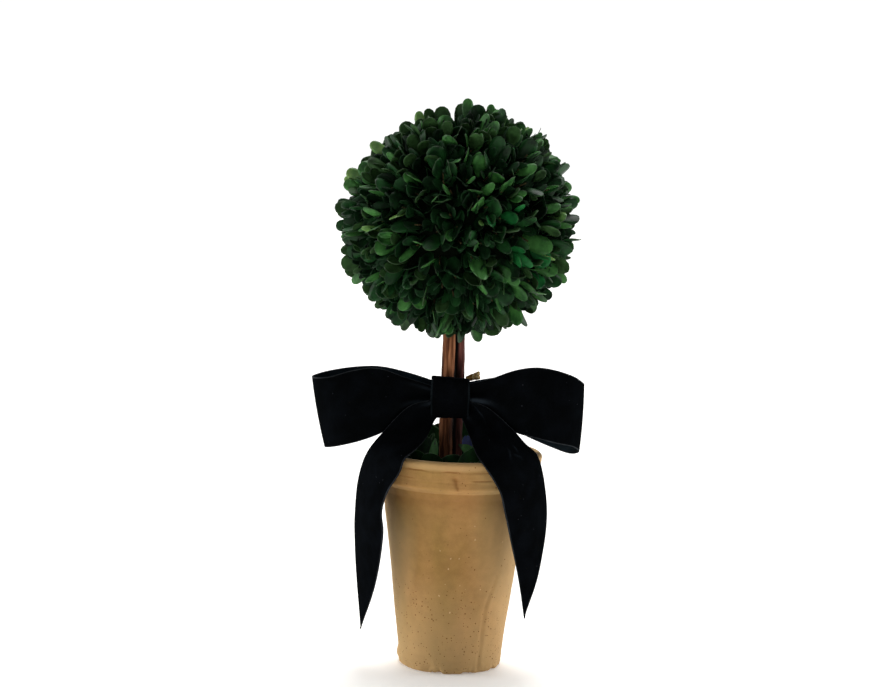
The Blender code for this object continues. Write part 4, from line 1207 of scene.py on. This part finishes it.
def ribbon(name, node, stations, facing, pleat, wrinkle=None, along=120, across=56,
           flip=False):
    """A ribbon lofted through stations, with the heights that pleat and wrinkle give added.

    facing, 1 or -1, is the side it swells to, and flip turns its pile to the other side.
    """
    upper = [Vector(station[:3]) * MILLIMETRE for station in stations]
    lower = [Vector(station[3:6]) * MILLIMETRE for station in stations]
    belly = [station[6] * MILLIMETRE for station in stations]
    last = len(stations) - 1
    shape = bmesh.new()
    bmesh.ops.create_grid(shape, x_segments=along, y_segments=across, size=0.5)
    for face in shape.faces:
        outermost = abs(face.calc_center_median().y) > 0.5 - 1 / across
        face.material_index = 2 if outermost else 0
    rubbed_and_lit = shape.verts.layers.float.new("rubbed_and_lit")
    for corner in shape.verts:
        place = min(max(corner.co.x + 0.5, 0.0), 1.0) * last
        row = round((corner.co.y + 0.5) * across)
        inner = SELVEDGE_SHARE + (1 - 2 * SELVEDGE_SHARE) * (row - 1) / (across - 2)
        share = 0.0 if row == 0 else 1.0 if row == across else inner
        top, bottom = along_curve(upper, place), along_curve(lower, place)
        ahead, behind = min(place + RUN_STEP, last), max(place - RUN_STEP, 0)
        run = (along_curve(upper, ahead) + along_curve(lower, ahead)
               - along_curve(upper, behind) - along_curve(lower, behind))
        normal = run.cross(top - bottom).normalized() * facing
        swell = along_curve(belly, place) * 4 * share * (1 - share)
        fold = pleat(share, place, last)
        crease = wrinkle(share, place) if wrinkle else 0.0
        # The crests of pleats and creases get a painted highlight.
        crest_light = max(0.0, fold / PLEAT_CREST) ** 4 + max(0.0, crease / CREASE_CREST) ** 2
        corner[rubbed_and_lit] = min(MOST_CREST_LIGHT, crest_light)
        swell += fold + crease
        corner.co = top.lerp(bottom, share) + normal * swell
    bmesh.ops.recalc_face_normals(shape, faces=shape.faces)
    if flip:
        bmesh.ops.reverse_faces(shape, faces=shape.faces)
    piece = show(name, shape, [velvet, satin_back, selvedge])
    skin = piece.modifiers.new("thickness", "SOLIDIFY")
    skin.thickness = RIBBON_THICKNESS
    skin.offset = 0
    skin.material_offset = 1
    skin.material_offset_rim = 2
    dress(piece, "velvet", node)
    print(name, len(piece.data.polygons), "faces before its thickness")


# %% Pleats and wrinkles
def loop_pleats(count, depth, phase):
    """Folds that gather a loop at both of its ends."""
    def pleat(share, place, last):
        near = max(bell(place - 1, 1.5), bell(last - place - 1, 1.5))
        side = 1 if place < last / 2 else -1
        edge_free = math.sin(share * math.pi) ** 0.5
        return depth * near * edge_free * math.sin(share * count * math.tau + phase * side)
    return pleat


def tail_pleats(count, depth, phase):
    """Folds that gather a tail at its upper end, and a slow wave down its length."""
    def pleat(share, place, last):
        edge_free = math.sin(share * math.pi) ** 0.5
        fade = bell(place - 1, 2.0)
        slow = 0.0006 * math.sin(place * 1.7 + share * 2.4)
        return depth * fade * edge_free * math.sin(share * count * math.tau + phase) + slow
    return pleat


def right_tail_wrinkles(share, place):
    """Sharp creases where the right tail was crushed."""
    height = 0.0
    for line, slope, middle, run in ((0.34, 0.10, 4.0, 0.35), (0.52, 0.16, 4.1, 0.45),
                                     (0.44, -0.12, 4.5, 0.30), (0.22, 0.22, 1.6, 0.6)):
        off = share - line - slope * (place - middle) - 0.01 * math.sin(place * 9)
        height = max(height, 0.0006 * bell(off, 0.022) * bell(place - middle, run))
    return height


# %% Loops, tails and the turn round the stem
ribbon("ribbon_loop_left", "bow_loop_left", LOOP_LEFT, -1, loop_pleats(1.6, 0.0020, 0.6),
       flip=True)
ribbon("ribbon_loop_right", "bow_loop_right", LOOP_RIGHT, 1, loop_pleats(1.4, 0.0022, 2.0),
       flip=True)
ribbon("ribbon_tail_left", "bow_tail_left", TAIL_LEFT, -1, tail_pleats(1.5, 0.0014, 0.8))
ribbon("ribbon_tail_right", "bow_tail_right", TAIL_RIGHT, 1, tail_pleats(1.5, 0.0014, 2.2),
       right_tail_wrinkles, flip=True)
ribbon("ribbon_round_stem", "bow_band", BAND, 1,
       lambda share, place, last: 0.0005 * math.sin(share * 3 * math.tau), along=80, across=24)

# %% [markdown]
# The knot is one more length of the same ribbon, wrapped over the gathered middle from front to
# back. A rounded box would be too stiff for it, so it is rolled as the sticks are, from a boxy
# loop that noise and soft folds push in and out. The two upright lines at its sides, where the
# ribbon is folded in, have crushed pile, painted paler, partly as a highlight where the ribbon
# turns.

# %% Knot
KNOT_CENTRE = Vector((-0.0060, -0.0145, 0.1946))
KNOT_SIZE = Vector((0.0274, 0.0144, 0.0294))
KNOT_AROUND, KNOT_ACROSS = 96, 40
CRUSHED_FROM = 0.90         # share of its half width


def knot_surface(turn, share):
    """The knot's skin: turn goes round the wrapped ribbon and share goes across it."""
    across = share * 2 - 1
    squeeze = 1 - 0.06 * abs(across) ** 8
    boxy = (abs(math.cos(turn)) ** 4 + abs(math.sin(turn)) ** 4) ** -0.25
    deep, high = math.cos(turn) * boxy, math.sin(turn) * boxy
    folds = 0.012 * math.sin(across * 5.5 + 0.8 * high) + 0.008 * math.sin(across * 12 + 2 * high)
    sag = 0.035 * noise.noise(Vector((across * 1.4, high * 1.2, 7)))
    reach = squeeze * (0.985 + folds * (1 - across * across) + sag)
    wide = across * (1.0 + 0.015 * math.sin(high * 3 + 1))
    slope = 0.06 * across if high > 0 else 0.0
    return KNOT_CENTRE + Vector((wide * KNOT_SIZE.x, deep * reach * KNOT_SIZE.y,
                                 (high * reach - slope) * KNOT_SIZE.z)) / 2


shape = rolled(KNOT_AROUND, KNOT_ACROSS, knot_surface)
for face in shape.faces:
    off = abs(face.calc_center_median().x - KNOT_CENTRE.x) / (KNOT_SIZE.x / 2)
    face.material_index = 1 if off > CRUSHED_FROM else 0
dress(show("ribbon_knot", shape, [velvet, crushed_and_lit]), "velvet", "bow_knot")
print("bow is tied")
